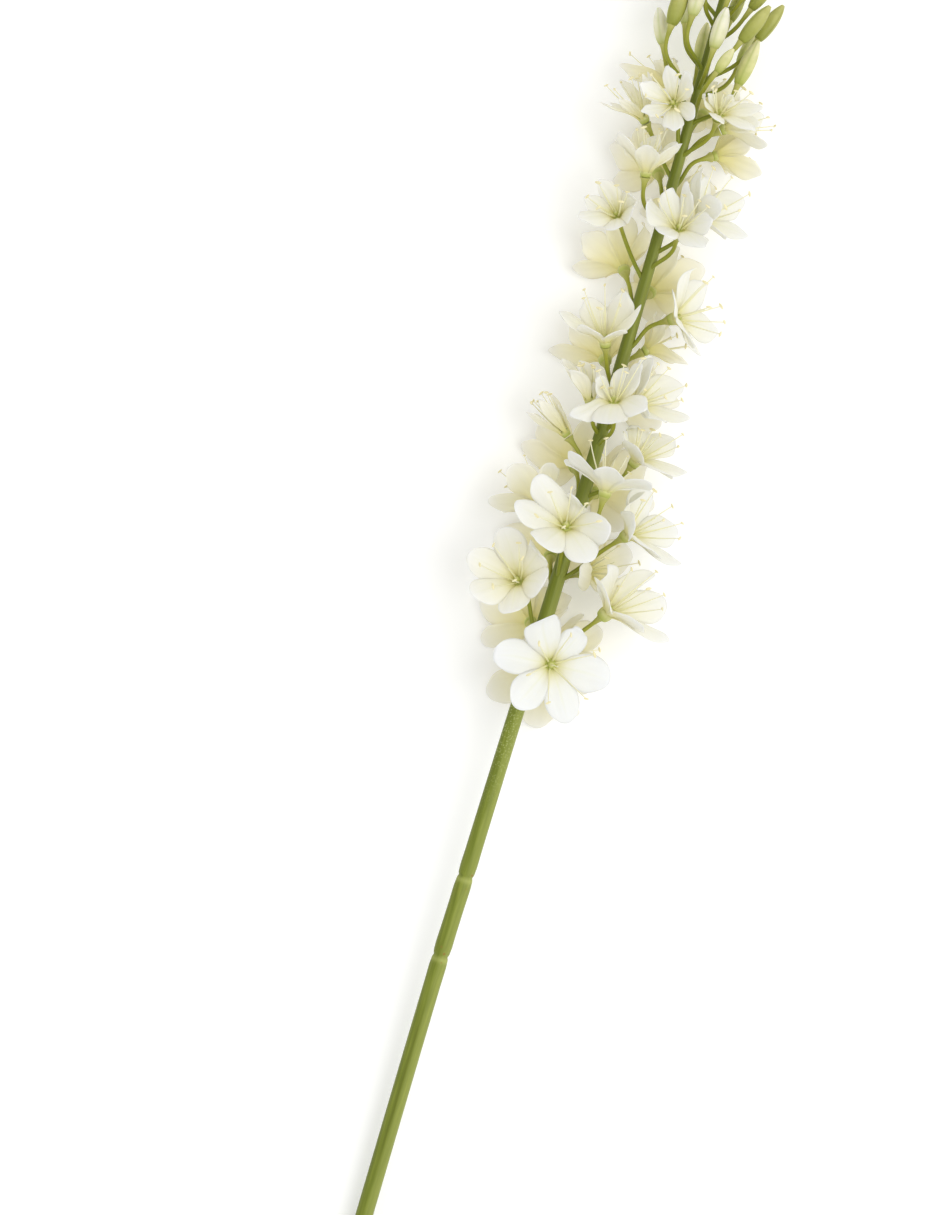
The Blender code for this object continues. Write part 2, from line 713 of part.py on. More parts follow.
def tip_pieces():
    """The green buds at the spike's tip, each in one with its short stalk."""
    draw = random.Random(SEED)
    pieces = []
    for i in range(TIP_BUDS):
        t = i / (TIP_BUDS - 1)
        u = blend((TIP_START, TIP_END), t ** 0.9)
        turn = math.radians(TIP_FIRST + TIP_TURN * i + draw.uniform(-1, 1) * TIP_TURN_SPREAD)
        reach = blend(TIP_REACH, t ** 0.8)
        out = Vector((math.sin(turn), 0, math.cos(turn)))
        along = stalk_direction(min(u, TIP_END - 2))
        root = stalk_point(u - reach * 1.3)
        foot = stalk_point(u) + out * reach
        axis = (along + out * blend(TIP_LEAN, t)).normalized()
        length, radius, stem = blend(TIP_LENGTH, t), blend(TIP_RADIUS, t), blend(TIP_STEM, t)
        leave = (foot - root).normalized()
        elbow = (root + foot) / 2 + out * (reach * 0.16)
        rings = [ring(root, leave, stem, TIP_SIDES), ring(elbow, leave, stem, TIP_SIDES)]
        for s, wide in ((0.0, stem), (0.3, radius * 0.92), (0.62, radius), (1.0, radius * 0.2)):
            rings.append(ring(foot + axis * (length * s), axis, wide, TIP_SIDES))
        pieces.append(solid_object("tip_bud", *tube(rings)))
    return pieces


def stalk_object(flowers, buds, stalk_material):
    pieces = [solid_object("scape", *tube(stalk_rings()))]
    pieces += [pedicel_piece(flower.stalk, CUP_RADIUS) for flower in flowers]
    pieces += [pedicel_piece(bud.stalk, bud.width * 0.24) for bud in buds]
    pieces += tip_pieces()
    fuse("stem", pieces, stalk_material)


def main():
    clear_scene()
    white = material("petal_white", (0.86, 0.86, 0.78), 0.55)
    green = material("stem_green", (0.20, 0.25, 0.07), 0.5)
    bud_colours = {
        "white": material("bud_white", (0.78, 0.77, 0.62), 0.55),
        "cream": material("bud_cream", (0.66, 0.64, 0.38), 0.55),
        "green": material("bud_green", (0.38, 0.42, 0.15), 0.55),
    }
    flowers = [Flower(row) for row in FLOWERS]
    buds = [Bud(row) for row in BUDS]
    items = flowers + buds
    stalk_object(flowers, buds, green)
    for i, flower in enumerate(flowers):
        flower_object(f"floret_{i + 1:02d}", flower, Room(flower, items), white)
    for i, bud in enumerate(buds):
        bud_object(f"bud_{i + 1:02d}", bud, bud_colours[bud.colour])


main()
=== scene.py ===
"""Foxtail lily flower spike: its looks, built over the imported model.

The tables are the model's own, in millimetres: u runs along the stalk, v across it to the right,
both seen from above, and h is the height above the stalk's middle line. Meshes are in metres.
"""
import math
import random

import bpy
import bmesh
import numpy as np
from mathutils import Matrix, Vector
from mathutils.bvhtree import BVHTree


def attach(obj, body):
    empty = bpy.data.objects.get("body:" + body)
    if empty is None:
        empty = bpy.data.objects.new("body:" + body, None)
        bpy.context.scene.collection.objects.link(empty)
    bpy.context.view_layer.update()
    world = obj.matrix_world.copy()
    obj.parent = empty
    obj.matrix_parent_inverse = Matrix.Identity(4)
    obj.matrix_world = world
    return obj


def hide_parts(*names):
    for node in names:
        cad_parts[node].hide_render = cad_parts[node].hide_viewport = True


MM = 0.001
SEED = 11

# The stalk: u, v and z of its middle line, and its radius.
STALK = np.array([
    (-105, -0.3, 3.15, 3.1),
    (0, -0.4, 8.6, 3.1),
    (93, -0.4, 13.8, 3.05),
    (124, 0.1, 15.6, 3.0),
    (173, 0.7, 18.4, 2.85),
    (222, 1.5, 21.0, 2.7),
    (279, 1.8, 23.4, 2.45),
    (356, 1.4, 25.6, 2.1),
    (400, 0.7, 26.2, 1.9),
    (443, 0.0, 26.4, 1.6),
    (500, -0.8, 26.0, 1.1),
    (548, -1.2, 25.0, 0.6),
])
ORIGIN_U = 224.5
ORIGIN_V = 3.8

# Open flowers: u, v, h of the place where the petals join, turn round the stalk, lift from it,
# spread of the petals from the flower's own axis, roll round that axis, size, flare (how much
# further the petal furthest from the stalk's tip opens), and the petals' share of full width.
FLOWERS = [
    (203.2, 7.5, 14.0, 12, 90, 84, 27, 1.08, 0, 1.0),
    (228.0, -11.6, 11.0, -25, 74, 56, 34, 1.00, 0, 1.0),
    (226.4, 21.8, 4.5, 60, 40, 60, 30, 1.20, 0, 1.0),
    (207.0, 9.0, -9.0, 150, 78, 64, 20, 0.92, 0, 1.0),
    (254.5, 21.0, 6.0, 60, 46, 66, 30, 1.05, 0, 1.0),
    (250.7, -1.0, 17.0, -5, 62, 66, 20, 1.04, 0, 1.0),
    (256.3, -11.5, -4.0, -135, 55, 62, 10, 0.92, 0, 1.0),
    (266.7, 8.8, 16.5, 180, 5, 68, 0, 1.00, 0, 1.0),
    (280.2, 16.2, 6.0, 42, 30, 58, 0, 0.96, 20, 1.0),
    (282.9, -10.9, 0.0, -85, 52, 26, 30, 0.80, 0, 0.45),
    (296.9, 2.9, 14.0, -30, 32, 64, -25, 1.00, 40, 1.0),
    (296.3, -5.6, 7.0, -60, 26, 24, 16, 0.88, 0, 0.6),
    (298.9, 11.2, 7.0, 50, 46, 60, 0, 0.96, 15, 1.0),
    (317.0, -6.2, 11.0, -35, 32, 52, 0, 0.95, 0, 1.0),
    (319.0, 9.5, -7.0, 105, 46, 50, 10, 0.84, 0, 1.0),
    (331.5, 15.4, 4.0, 68, 60, 62, 45, 0.98, 15, 1.0),
    (361.0, 7.4, 12.5, -5, 45, 66, 20, 0.94, 0, 0.92),
    (366.7, 13.8, 6.0, 38, 45, 64, 0, 0.98, 0, 1.0),
    (360.0, -14.5, 6.0, -28, 58, 60, 30, 0.80, 0, 1.0),
    (377.8, -9.2, 10.0, -30, 15, 44, 30, 0.92, 0, 0.9),
    (391.0, 13.5, -8.5, 122, 62, 50, 0, 0.84, 0, 1.0),
    (400.5, 13.8, 0.5, 86, 50, 56, 30, 0.90, 0, 0.9),
    (403.4, 9.8, 12.0, 6, 42, 56, 14, 0.90, 12, 0.64),
    (402.4, -6.7, 13.0, -14, 84, 64, -20, 0.82, 0, 0.74),
    (396.0, -15.5, 0.0, -72, 44, 48, 0, 0.86, 0, 0.42),
    (199.5, 5.0, -10.5, 176, 85, 70, 10, 1.08, 0, 1.0),
    (215.5, -3.0, -11.0, -172, 74, 64, 30, 1.03, 0, 1.0),
    (238.0, 10.5, -7.0, 60, 60, 68, 5, 1.05, 0, 1.0),
    (240.0, -3.0, -12.0, -172, 64, 64, 25, 1.10, 0, 1.0),
    (266.0, 6.0, -13.0, 165, 60, 62, 15, 1.10, 0, 1.0),
    (273.0, -4.0, -11.5, -158, 56, 60, 0, 1.08, 0, 1.0),
    (303.0, 5.0, -12.5, 165, 62, 62, 30, 1.08, 0, 1.0),
    (312.0, -4.5, -10.5, -150, 48, 56, 20, 1.08, 0, 1.0),
    (339.0, 4.5, -12.5, 168, 60, 60, 0, 1.06, 0, 1.0),
    (344.0, -7.0, -10.0, -148, 50, 56, 30, 1.01, 0, 1.0),
    (371.0, 4.0, -12.0, 170, 58, 58, 10, 1.06, 0, 1.0),
    (380.0, -5.0, -11.0, -160, 54, 56, 40, 1.03, 0, 1.0),
    (404.0, 5.0, -10.5, 160, 52, 54, 20, 1.01, 0, 0.9),
    (410.0, -9.0, -6.0, -130, 44, 50, 0, 1.01, 0, 0.8),
]

# Larger buds: u, v, h of the foot, how far along and across the tip lies from it, and how far up,
# the thickness, and the colour.
BUDS = [
    (422.5, -16.0, 1.0, 11.5, -5.0, -0.5, 5.4, "white"),
    (429.2, -15.0, 8.0, 15.0, 0.6, 1.0, 6.2, "green"),
    (434.2, -9.0, 10.0, 14.5, 0.0, 1.0, 5.8, "white"),
    (425.2, 1.4, 11.5, 14.3, 0.4, 1.0, 5.6, "white"),
    (442.4, 10.2, 6.5, 13.0, 5.0, 1.5, 5.0, "green"),
    (430.3, 10.0, 10.5, 14.0, 6.0, 1.5, 5.4, "green"),
    (433.2, 15.6, 3.0, 13.5, 5.0, 0.5, 5.0, "green"),
    (416.0, 13.2, 6.5, 16.0, 2.4, 0.5, 5.6, "cream"),
    (417.5, 4.8, 13.5, 8.6, 3.2, 2.0, 4.0, "cream"),
    (424.0, 12.0, -6.0, 13.5, 3.0, -3.0, 5.2, "cream"),
    (421.0, -2.0, -10.5, 14.0, -1.0, -3.0, 5.2, "cream"),
    (432.0, -10.5, -4.5, 13.0, -3.5, -3.0, 5.0, "white"),
    (438.0, 4.5, -9.5, 13.0, 1.5, -3.5, 4.8, "green"),
    (446.0, -7.5, 7.0, 12.5, -3.0, 2.0, 4.6, "green"),
    (444.0, 1.5, 11.0, 12.5, 0.8, 2.2, 4.6, "green"),
    (449.0, -9.0, -3.5, 12.0, -3.5, -2.5, 4.4, "green"),
    (451.0, 8.5, -3.5, 12.0, 3.5, -2.5, 4.4, "green"),
]

# The small green buds of the tip. Pairs are the first bud's value and the last one's.
TIP_BUDS = 24
TIP_START = 446.0
TIP_END = 549.0
TIP_FIRST = 40.0
TIP_TURN = 137.5
TIP_TURN_SPREAD = 12.0
TIP_REACH = (10.5, 2.2)
TIP_LENGTH = (11.0, 4.6)
TIP_RADIUS = (2.0, 1.1)
TIP_LEAN = (0.32, 0.14)
TIP_STEM = (0.8, 0.55)

# How far down the scape a small bud's stalk starts, how far it bows out, and how its thickness
# runs; and how much wider than its radius the bud's shape is set, and how far it is sunk.
TIP_DROP = 1.3
TIP_ELBOW = 0.16
TIP_PULL = 0.25
TIP_THICK = (1.1, 1.0, 0.95, 0.95, 0.95, 0.95, 1.0, 1.1, 1.35)
TIP_SCALE = 2.06
TIP_SUNK = 0.25

# How a petal grows, as in the model, but that its foot is wider. Near a bound it turns along it,
# and its sides turn less than it does; where that leaves it no way on, half its free bend stays.
PETAL_LENGTH = 18.6
PETAL_WIDTH = 12.2
PETAL_DISH = 0.16
PETAL_WIDEST = 0.6
PETAL_FOOT_WIDTH = 0.27
PETAL_RISE = 0.55
PETAL_OPENED = 0.3
TIP_TURNS_FROM = 52.0
TIP_TURNS_BY = 0.45
WHORLS = ((4.0, 0.94), (-4.0, 1.04))
WEDGE = math.pi / 6
GROWTH_STEPS = 18
FOOT_RING = 2.0
SIDE_SHARE = 0.5
SIDE_TURN = 0.6
SIDE_LEAST = 0.1
HEADING_LEAST = 0.2
HEADING_KEPT = 0.5

# A petal's mesh: rows up to its widest place, rows past it, and columns across. Its shell is
# thick at the foot and thin at the margin, and its margin is a little waved. Petals high in the
# spike have sharper ends.
LOWER_ROWS = 10
UPPER_ROWS = 8
COLUMNS = 13
PETAL_THICK = (0.42, 0.3)
MARGIN_THIN = 0.09
FOOT_SUNK = 0.9
WAVE_HEIGHT = 0.46
WAVES = (7.5, 7.0)
FOLD_HEIGHT = 0.17
FOLDS = 9.0
PETAL_POINT = (0.1, 0.42)
POINT_SPAN = (230.0, 330.0)
POINT_DRAW = (0.5, 1.2)
PETAL_OVERLAP = 1.5
PRESS_ROUNDS = 3
PETAL_TRIES = 5
PETAL_SHRINK = 0.94

# A petal's plain plate, which shows how large the petal can grow in its room: eleven points,
# three at the root, two rows of three, and two at the tip, and its triangles. It may not fold over
# or be pinched.
PLATE_ROOT = 2.15
PLATE_ROWS = (0.38, 0.72)
PLATE_BLUNT = 0.36
PLATE_FOOT_WIDTH = 0.17
PLATE_GAP = 0.42
PLATE_SKIN = np.array([
    (0, 1, 4), (0, 4, 3), (1, 2, 4), (2, 5, 4), (3, 4, 7), (3, 7, 6),
    (4, 5, 7), (5, 8, 7), (6, 7, 9), (7, 8, 10), (7, 10, 9),
])
PLATE_AREA = 4.0
PLATE_OPEN = 0.22
PLATE_SHRINK = 0.92
SIZE_LEAST = 0.3

# The flower's centre: its foot's end along its axis, its cup, and its stamens, which are drawn
# between these limits, turn in a curve, and stop where they come too near a petal or a bound.
FOOT_END = -2.4
CUP_RADIUS = 1.9
CUP_LENGTH = 4.4
SEAT_GAP = 0.3
STAMEN_FOOT = (0.6, 1.15)
STAMEN_LENGTH = 18.5
STAMEN_LENGTH_DRAW = (0.86, 1.04)
STAMEN_TURN_DRAW = 7.0
STAMEN_TILT_DRAW = 5.0
STAMEN_TILT = 1.35
STAMEN_CURL = (0.15, 0.5)
STAMEN_SPREAD = 0.36
STAMEN_STEPS = 14
STAMEN_RADIUS = (0.36, 0.17)
STAMEN_CLEAR = 1.1
STAMEN_ROOM = 0.3
STAMEN_FLOOR = 1.8
STYLE_LENGTH = 11.2
ANTHER_LENGTH = (1.7, 2.5)
ANTHER_WIDTH = 0.95
ANTHER_LEAN = (-0.3, 0.5)

# Flower stalks. Their lines have finer points, and the last ones widen to the cup. A bud's cup is
# a share of its width.
PEDICEL_RADIUS = 0.86
PEDICEL_LEAVE = 48.0
PEDICEL_REACH = 1.15
PEDICEL_DROP = 2.0
PEDICEL_PULL = 0.36
PEDICEL_POINTS = 12
FINE_POINTS = 20
CUP_AT = (0.3, 0.55, 0.75, 0.9, 1.0)
CUP_WIDENS = (0.06, 0.2, 0.5, 0.85, 1.0)
BUD_CUP = 0.24

# A larger bud sits a little into its cup, and each is turned by this much more than the last.
BUD_SUNK = 0.3
BUD_LONGER = 0.4
BUD_TURN = 0.7

# Room between neighbours, as in the model.
WALL_GAP = 0.75
WALL_SOFT = 7.0
EDGE_SOFT = 1.2
EDGE_ROUNDS = 4
FLOOR_GAP = 0.36
CORE_LOW = 9.0
CORE_HIGH = 6.0
CORE_SPAN = (190.0, 430.0)
NEIGHBOUR_RANGE = 52.0
HEART_AHEAD = 7.0
CUP_ROOM = 2.6
STALK_ROOM = 2.0

# The scape's skin, a little inside the model's. A joint is pinched twice (share of the radius,
# width), swells above and below (share, how far off, width), and has a pale collar below it.
SCAPE_SIDES = 44
SCAPE_STEP = 1.1
SCAPE_INSIDE = 0.985
JOINTS = (94.0, 123.3)
JOINT_STEP = 0.2
JOINT_REACH = 4.0
JOINT_CREASE = (0.1, 0.6)
JOINT_WAIST = (0.05, 2.4)
JOINT_SWELL = (0.025, 4.5, 3.0)
JOINT_FLECKED = 3.5
COLLAR_BELOW = 1.3
GROOVE_DEPTH = 0.3
GROOVE_SPAN = (8.0, 30.0, 66.0, 78.0)
GROOVE_TURN = 1.75
GROOVE_WIDTH = 0.17
STIPPLE_AT = 178.0
STIPPLE_REACH = 20.0
# Where the scape gets painted shade among the flowers: it rises between the first two and fades between
# the last two.
SHADED_SPAN = (195.0, 250.0, 420.0, 470.0)

# Colours along a white petal and along a creamier one, from foot to tip, the creamier run also
# standing for painted warm shade; and the strength of the painted glow that each petal gives off.
PETAL_WHITE = (
    (0.0, "#cdc988"), (0.08, "#d6d2aa"), (0.2, "#dbd9c6"), (0.36, "#dcddd7"), (1.0, "#dcdedf"),
)
PETAL_CREAM_AND_SHADE = ((0.0, "#d3ca78"), (0.3, "#e1d79c"), (0.65, "#e7e0be"), (1.0, "#e6e2d2"))
PAINTED_PETAL_GLOW = 0.1

# A flower is creamier when it is less open, and is painted creamier below the stalk as painted
# warm shade: the heights and spreads between which that fades, the share of each, and the most.
PAINTED_SHADE_HEIGHTS = (-11.0, 5.0)
CREAM_SPREADS = (40.0, 90.0)
CREAM_AND_SHADE_SHARES = (0.6, 0.5)
CREAM_AND_SHADE_MOST = 0.8

# Colours of the scape's streaks.
SCAPE_GREEN = ((0.3, "#66721b"), (0.52, "#747f26"), (0.74, "#858f34"))

# Colours along a thread, an anther, a flower's centre, a flower stalk and the buds.
THREAD = ((0.0, "#e4e0a6"), (0.4, "#ebe8be"), (1.0, "#f1eed6"))
ANTHER = ((0.0, "#ebe2b0"), (1.0, "#f1eac2"))
HEART = ((0.0, "#a6b04c"), (0.3, "#b8bd66"), (0.5, "#d3d293"), (1.0, "#efecca"))
FLOWER_STALK = ((0.0, "#76801c"), (0.5, "#888c1e"), (0.8, "#9a9c34"), (1.0, "#bdbb6e"))
TIP_BUD = ((0.0, "#8f9c3c"), (0.5, "#a3ad50"), (1.0, "#b9bf6c"))
BUD = {
    "white": ((0.0, "#b4bb64"), (0.25, "#dedcb4"), (1.0, "#f1eee2")),
    "cream": ((0.0, "#a6b04c"), (0.35, "#cfce8a"), (1.0, "#e5e0b4")),
    "green": ((0.0, "#8f9638"), (0.4, "#a9ab56"), (1.0, "#c2c078")),
}
BUD_RIB = {"white": "#b9c078", "cream": "#97a443", "green": "#7f842c"}

# The photograph's frame: the middle of the image and its long side, in millimetres, and the
# spike's lean in it.
VIEW_CENTRE = (-25.0, 214.3, 24.0)
VIEW_HEIGHT = 425.25
VIEW_DISTANCE = 2200.0
VIEW_LEAN = 16.4

# The studio, in metres: the large soft light, what it points at, and its size and watts; the
# surround's strength; and half the floor's side in millimetres.
KEY_AT = (0.85, 0.25, 1.8)
KEY_AIM = (0.0, 0.05, 0.02)
KEY_SIZE = 1.4
KEY_WATTS = 14.0
SURROUND = 0.85
FLOOR_HALF = 3000.0


def unit(vector):
    return vector / np.linalg.norm(vector, axis=-1, keepdims=True)


def blend(pair, t):
    """From pair[0] to pair[1] as t goes from 0 to 1."""
    t = np.clip(t, 0.0, 1.0)
    return pair[0] + (pair[1] - pair[0]) * t


def eased(low, high, value):
    """0 up to low, 1 from high on, and a smooth rise between them."""
    t = np.clip((value - low) / (high - low), 0.0, 1.0)
    return t * t * (3.0 - 2.0 * t)


def stalk_at(u):
    """Rows of v, z and radius of the stalk at each u, on a smooth curve through STALK."""
    u = np.atleast_1d(np.asarray(u, float))
    last = len(STALK) - 1
    i = np.clip(np.searchsorted(STALK[:, 0], u) - 1, 0, last - 1)
    before, a, b = STALK[np.maximum(i - 1, 0)], STALK[i], STALK[i + 1]
    after = STALK[np.minimum(i + 2, last)]
    span = b[:, :1] - a[:, :1]
    t = (u[:, None] - a[:, :1]) / span
    slope_a = (b - before) / (b[:, :1] - before[:, :1]) * span
    slope_b = (after - a) / (after[:, :1] - a[:, :1]) * span
    t2, t3 = t * t, t * t * t
    value = (2 * t3 - 3 * t2 + 1) * a + (t3 - 2 * t2 + t) * slope_a
    value += (3 * t2 - 2 * t3) * b + (t3 - t2) * slope_b
    return value[:, 1:]


def stalk_points(u):
    u = np.atleast_1d(np.asarray(u, float))
    rows = stalk_at(u)
    return np.stack([rows[:, 0] - ORIGIN_V, u - ORIGIN_U, rows[:, 1]], axis=1)


def stalk_point(u):
    return stalk_points(u)[0]


def stalk_direction(u):
    return unit(stalk_point(u + 1.0) - stalk_point(u - 1.0))


def place(u, v, h):
    """A table's u, v, h as a point, z from the surface."""
    return np.array((v - ORIGIN_V, u - ORIGIN_U, stalk_at(u)[0, 1] + h))


def across(axis, angle):
    """The direction at angle round axis, 0 being the side nearest the stalk's tip."""
    ahead = np.array((0.0, 1.0, 0.0))
    first = unit(ahead - axis * (ahead @ axis))
    second = np.cross(first, axis)
    return first * math.cos(angle) + second * math.sin(angle)


def pedicel_path(end, axis, u):
    """Points of a flower stalk that leaves the scape at an angle and turns into axis."""
    root = stalk_point(u)
    reach = math.hypot(end[0] - root[0], end[2] - root[2])
    root_u = u - reach * PEDICEL_REACH - PEDICEL_DROP
    root = stalk_point(root_u)
    out = unit(np.array((end[0] - root[0], 0.0, end[2] - root[2])))
    leave = math.radians(PEDICEL_LEAVE)
    start = stalk_direction(root_u) * math.cos(leave) + out * math.sin(leave)
    pull = np.linalg.norm(end - root) * PEDICEL_PULL
    cup = end - axis * CUP_LENGTH
    t = np.linspace(0.0, 1.0, PEDICEL_POINTS + 1)[:, None]
    s = 1.0 - t
    control = (root, root + start * pull, cup - axis * pull, cup)
    weights = (s ** 3, 3 * s * s * t, 3 * s * t * t, t ** 3)
    path = sum(weight * point for weight, point in zip(weights, control))
    return np.vstack([path, end])


class Flower:
    def __init__(self, number, row):
        self.u, v, self.height, turn, lift, self.spread, self.roll, self.size, self.flare, self.width = row
        self.number = number
        self.foot = place(self.u, v, self.height)
        turn, lift = math.radians(turn), math.radians(lift)
        side = np.array((math.sin(turn), 0.0, math.cos(turn)))
        self.axis = unit(stalk_direction(self.u) * math.cos(lift) + side * math.sin(lift))
        self.heart = self.foot + self.axis * HEART_AHEAD
        seat = self.foot + self.axis * (FOOT_END - SEAT_GAP)
        self.stalk = pedicel_path(seat, self.axis, self.u)
        self.own = np.array([seat - self.axis * CUP_LENGTH, self.foot + self.axis])


class Bud:
    def __init__(self, number, row):
        u, v, h, along, side, up, self.width, self.colour = row
        self.number = number
        self.foot = place(u, v, h)
        self.tip = self.foot + np.array((side, along, up))
        self.axis = unit(self.tip - self.foot)
        self.heart = (self.foot + self.tip) / 2
        self.stalk = pedicel_path(self.foot - self.axis * SEAT_GAP, self.axis, u)
        self.own = np.array([self.foot - self.axis * CUP_LENGTH, self.tip])


def wall_between(one, other):
    """A plane that keeps one off other: its normal towards one, and its distance."""
    normal = unit(one.heart - other.heart)
    middle = (one.heart + other.heart) @ normal / 2
    most = (one.own @ normal).min() - CUP_ROOM
    least = (other.own @ normal).max() + CUP_ROOM
    if least > most:
        return normal, (least + most) / 2
    return normal, min(max(middle, least), most)


class Room:
    """What a flower keeps clear of: its neighbours, their stalks, the scape and the surface."""

    def __init__(self, item, items):
        near = [other for other in items if other is not item]
        near = [other for other in near if np.linalg.norm(other.heart - item.heart) < NEIGHBOUR_RANGE]
        walls = [wall_between(item, other) for other in near]
        self.normals = np.array([normal for normal, _ in walls])
        self.distances = np.array([distance for _, distance in walls])
        self.stalks = np.array([other.stalk for other in near])

    def depths(self, points):
        """How far each point lies inside each bound, with that bound's normal there."""
        count = len(points)
        walls = points @ self.normals.T - self.distances - WALL_GAP
        wall_normals = np.broadcast_to(self.normals, (count, *self.normals.shape))
        floor = points[:, 2:3] - FLOOR_GAP
        up = np.broadcast_to(np.array((0.0, 0.0, 1.0)), (count, 1, 3))
        gaps = points[:, None, None, :] - self.stalks[None]
        lengths = np.linalg.norm(gaps, axis=3)
        nearest = lengths.argmin(axis=2)[:, :, None]
        away = np.take_along_axis(gaps, nearest[..., None], axis=2)[:, :, 0]
        far = np.take_along_axis(lengths, nearest, axis=2)[:, :, 0]
        u = points[:, 1] + ORIGIN_U
        off = points - stalk_points(u)
        off[:, 1] = 0.0
        off_length = np.linalg.norm(off, axis=1, keepdims=True)
        share = (u - CORE_SPAN[0]) / (CORE_SPAN[1] - CORE_SPAN[0])
        core = off_length - blend((CORE_LOW, CORE_HIGH), share)[:, None]
        depths = np.hstack([walls, floor, far - STALK_ROOM, core])
        normals = [wall_normals, up, away / far[..., None], (off / off_length)[:, None]]
        return depths, np.concatenate(normals, axis=1)


def grow(start, bend, length, room, side, half, foot_width):
    """Grow a petal's middle line, turning it away from what it comes near.

    Half is half the petal's full width. Returns arrays of points, directions and sides.
    """
    point = start
    rows = []
    for i in range(GROWTH_STEPS + 1):
        s = i / GROWTH_STEPS
        heading, level = bend(s), side
        depths, normals = room.depths(point[None])
        for depth, normal in zip(depths[0], normals[0]):
            spare = depth - half * petal_width(s, foot_width) * abs(level @ normal) * SIDE_SHARE
            if spare < WALL_SOFT:
                close = min(1.0 - spare / WALL_SOFT, 1.0)
                heading = heading + normal * (max(-(heading @ normal), 0.0) * close)
                level = level - normal * ((level @ normal) * close * SIDE_TURN)
        if np.linalg.norm(heading) < HEADING_LEAST:
            heading = bend(s) * HEADING_KEPT + heading
        heading = unit(heading)
        level = level - heading * (level @ heading)
        if np.linalg.norm(level) < SIDE_LEAST:
            level = side - heading * (side @ heading)
        level = unit(level)
        rows.append((point, heading, level))
        point = point + heading * (length / GROWTH_STEPS)
    return [np.array(column) for column in zip(*rows)]


def along_line(values, s):
    """Values of a grown line at each s."""
    place_on = np.clip(s, 0.0, 1.0) * GROWTH_STEPS
    i = np.minimum(place_on.astype(int), GROWTH_STEPS - 1)
    t = (place_on - i)[..., None]
    return values[i] * (1.0 - t) + values[i + 1] * t


def petal_width(s, foot_width):
    """Width of a petal along its length, as a share of its full width."""
    if s < PETAL_WIDEST:
        return blend((foot_width, 1.0), math.sin(math.pi / 2 * s / PETAL_WIDEST))
    past = (s - PETAL_WIDEST) / (1.0 - PETAL_WIDEST)
    return math.sqrt(max(1.0 - past * past, 0.0))


def petal_bend(axis, outward, spread):
    """The free direction along a petal: it rises from the cup, opens, and its tip turns out."""
    def bend(s):
        opened = blend((PETAL_RISE, 1.0), s / PETAL_OPENED)
        tip = (spread - TIP_TURNS_FROM) * TIP_TURNS_BY * max(s - PETAL_OPENED, 0.0)
        angle = math.radians(spread * opened + tip)
        return axis * math.cos(angle) + outward * math.sin(angle)
    return bend


def petal_layout(point=0.0):
    """Each grid point's place along the petal, and across it as a share of its full width.

    Past the widest place the grid closes, without a pole, to an end that point makes less round.
    """
    t = np.linspace(-1.0, 1.0, COLUMNS)
    low = np.linspace(0.0, PETAL_WIDEST, LOWER_ROWS, endpoint=False)
    widths = np.array([petal_width(s, PETAL_FOOT_WIDTH) for s in low])
    q = np.linspace(0.0, 1.0, UPPER_ROWS)[:, None]
    along = np.vstack([
        np.repeat(low[:, None], COLUMNS, axis=1),
        PETAL_WIDEST + (1.0 - PETAL_WIDEST) * q * np.sqrt(1.0 - t * t / 2.0),
    ])
    wide = np.vstack([widths[:, None] * t, t * np.sqrt(1.0 - q * q / 2.0) * (1.0 - point * q ** 3)])
    return along, wide


def kept_inside(points, room, walls, overlap):
    """The points, pushed back softly from any bound that they have reached.

    The walls stand between the petal and those beside it, which may lie over it by the overlap.
    """
    for _ in range(EDGE_ROUNDS):
        depths, normals = room.depths(points)
        beside = [((points - on) @ normal + overlap, normal) for on, normal in walls]
        push = np.where(depths < EDGE_SOFT, EDGE_SOFT * np.exp(depths / EDGE_SOFT - 1.0) - depths, 0.0)
        points = points + (normals * push[..., None]).sum(axis=1)
        for depth, normal in beside:
            back = np.where(depth < EDGE_SOFT, EDGE_SOFT * np.exp(depth / EDGE_SOFT - 1.0) - depth, 0.0)
            points = points + back[:, None] * normal
    return points


def blurred(grid):
    """Each grid value averaged with the values beside it."""
    padded = np.pad(grid, ((1, 1), (1, 1), (0, 0)), mode="edge")
    rows = (padded[:-2] + padded[1:-1] * 2 + padded[2:]) / 4
    return (rows[:, :-2] + rows[:, 1:-1] * 2 + rows[:, 2:]) / 4


class Petal:
    """Petal k of a flower at a size: its turn, half width, middle line and the walls beside it."""

    def __init__(self, flower, k, room, size, foot_width):
        lean, wide = WHORLS[k % 2]
        turn = math.radians(flower.roll + 60.0 * k)
        outward = across(flower.axis, turn)
        side = np.cross(flower.axis, outward)
        self.turn = turn
        self.half = PETAL_WIDTH * wide * size * flower.width / 2
        spread = flower.spread + lean + flower.flare * (1.0 - math.cos(turn)) / 2
        bend = petal_bend(flower.axis, outward, spread)
        start = flower.foot + outward * FOOT_RING
        self.line = grow(start, bend, PETAL_LENGTH * size, room, side, self.half, foot_width)
        self.walls = [
            (flower.foot, outward * math.sin(WEDGE) + side * math.cos(WEDGE)),
            (flower.foot, outward * math.sin(WEDGE) - side * math.cos(WEDGE)),
        ]

    def at(self, s):
        """The middle line's points, directions and sides at each s."""
        middle, heading, level = (along_line(values, s) for values in self.line)
        return middle, unit(heading), unit(level)


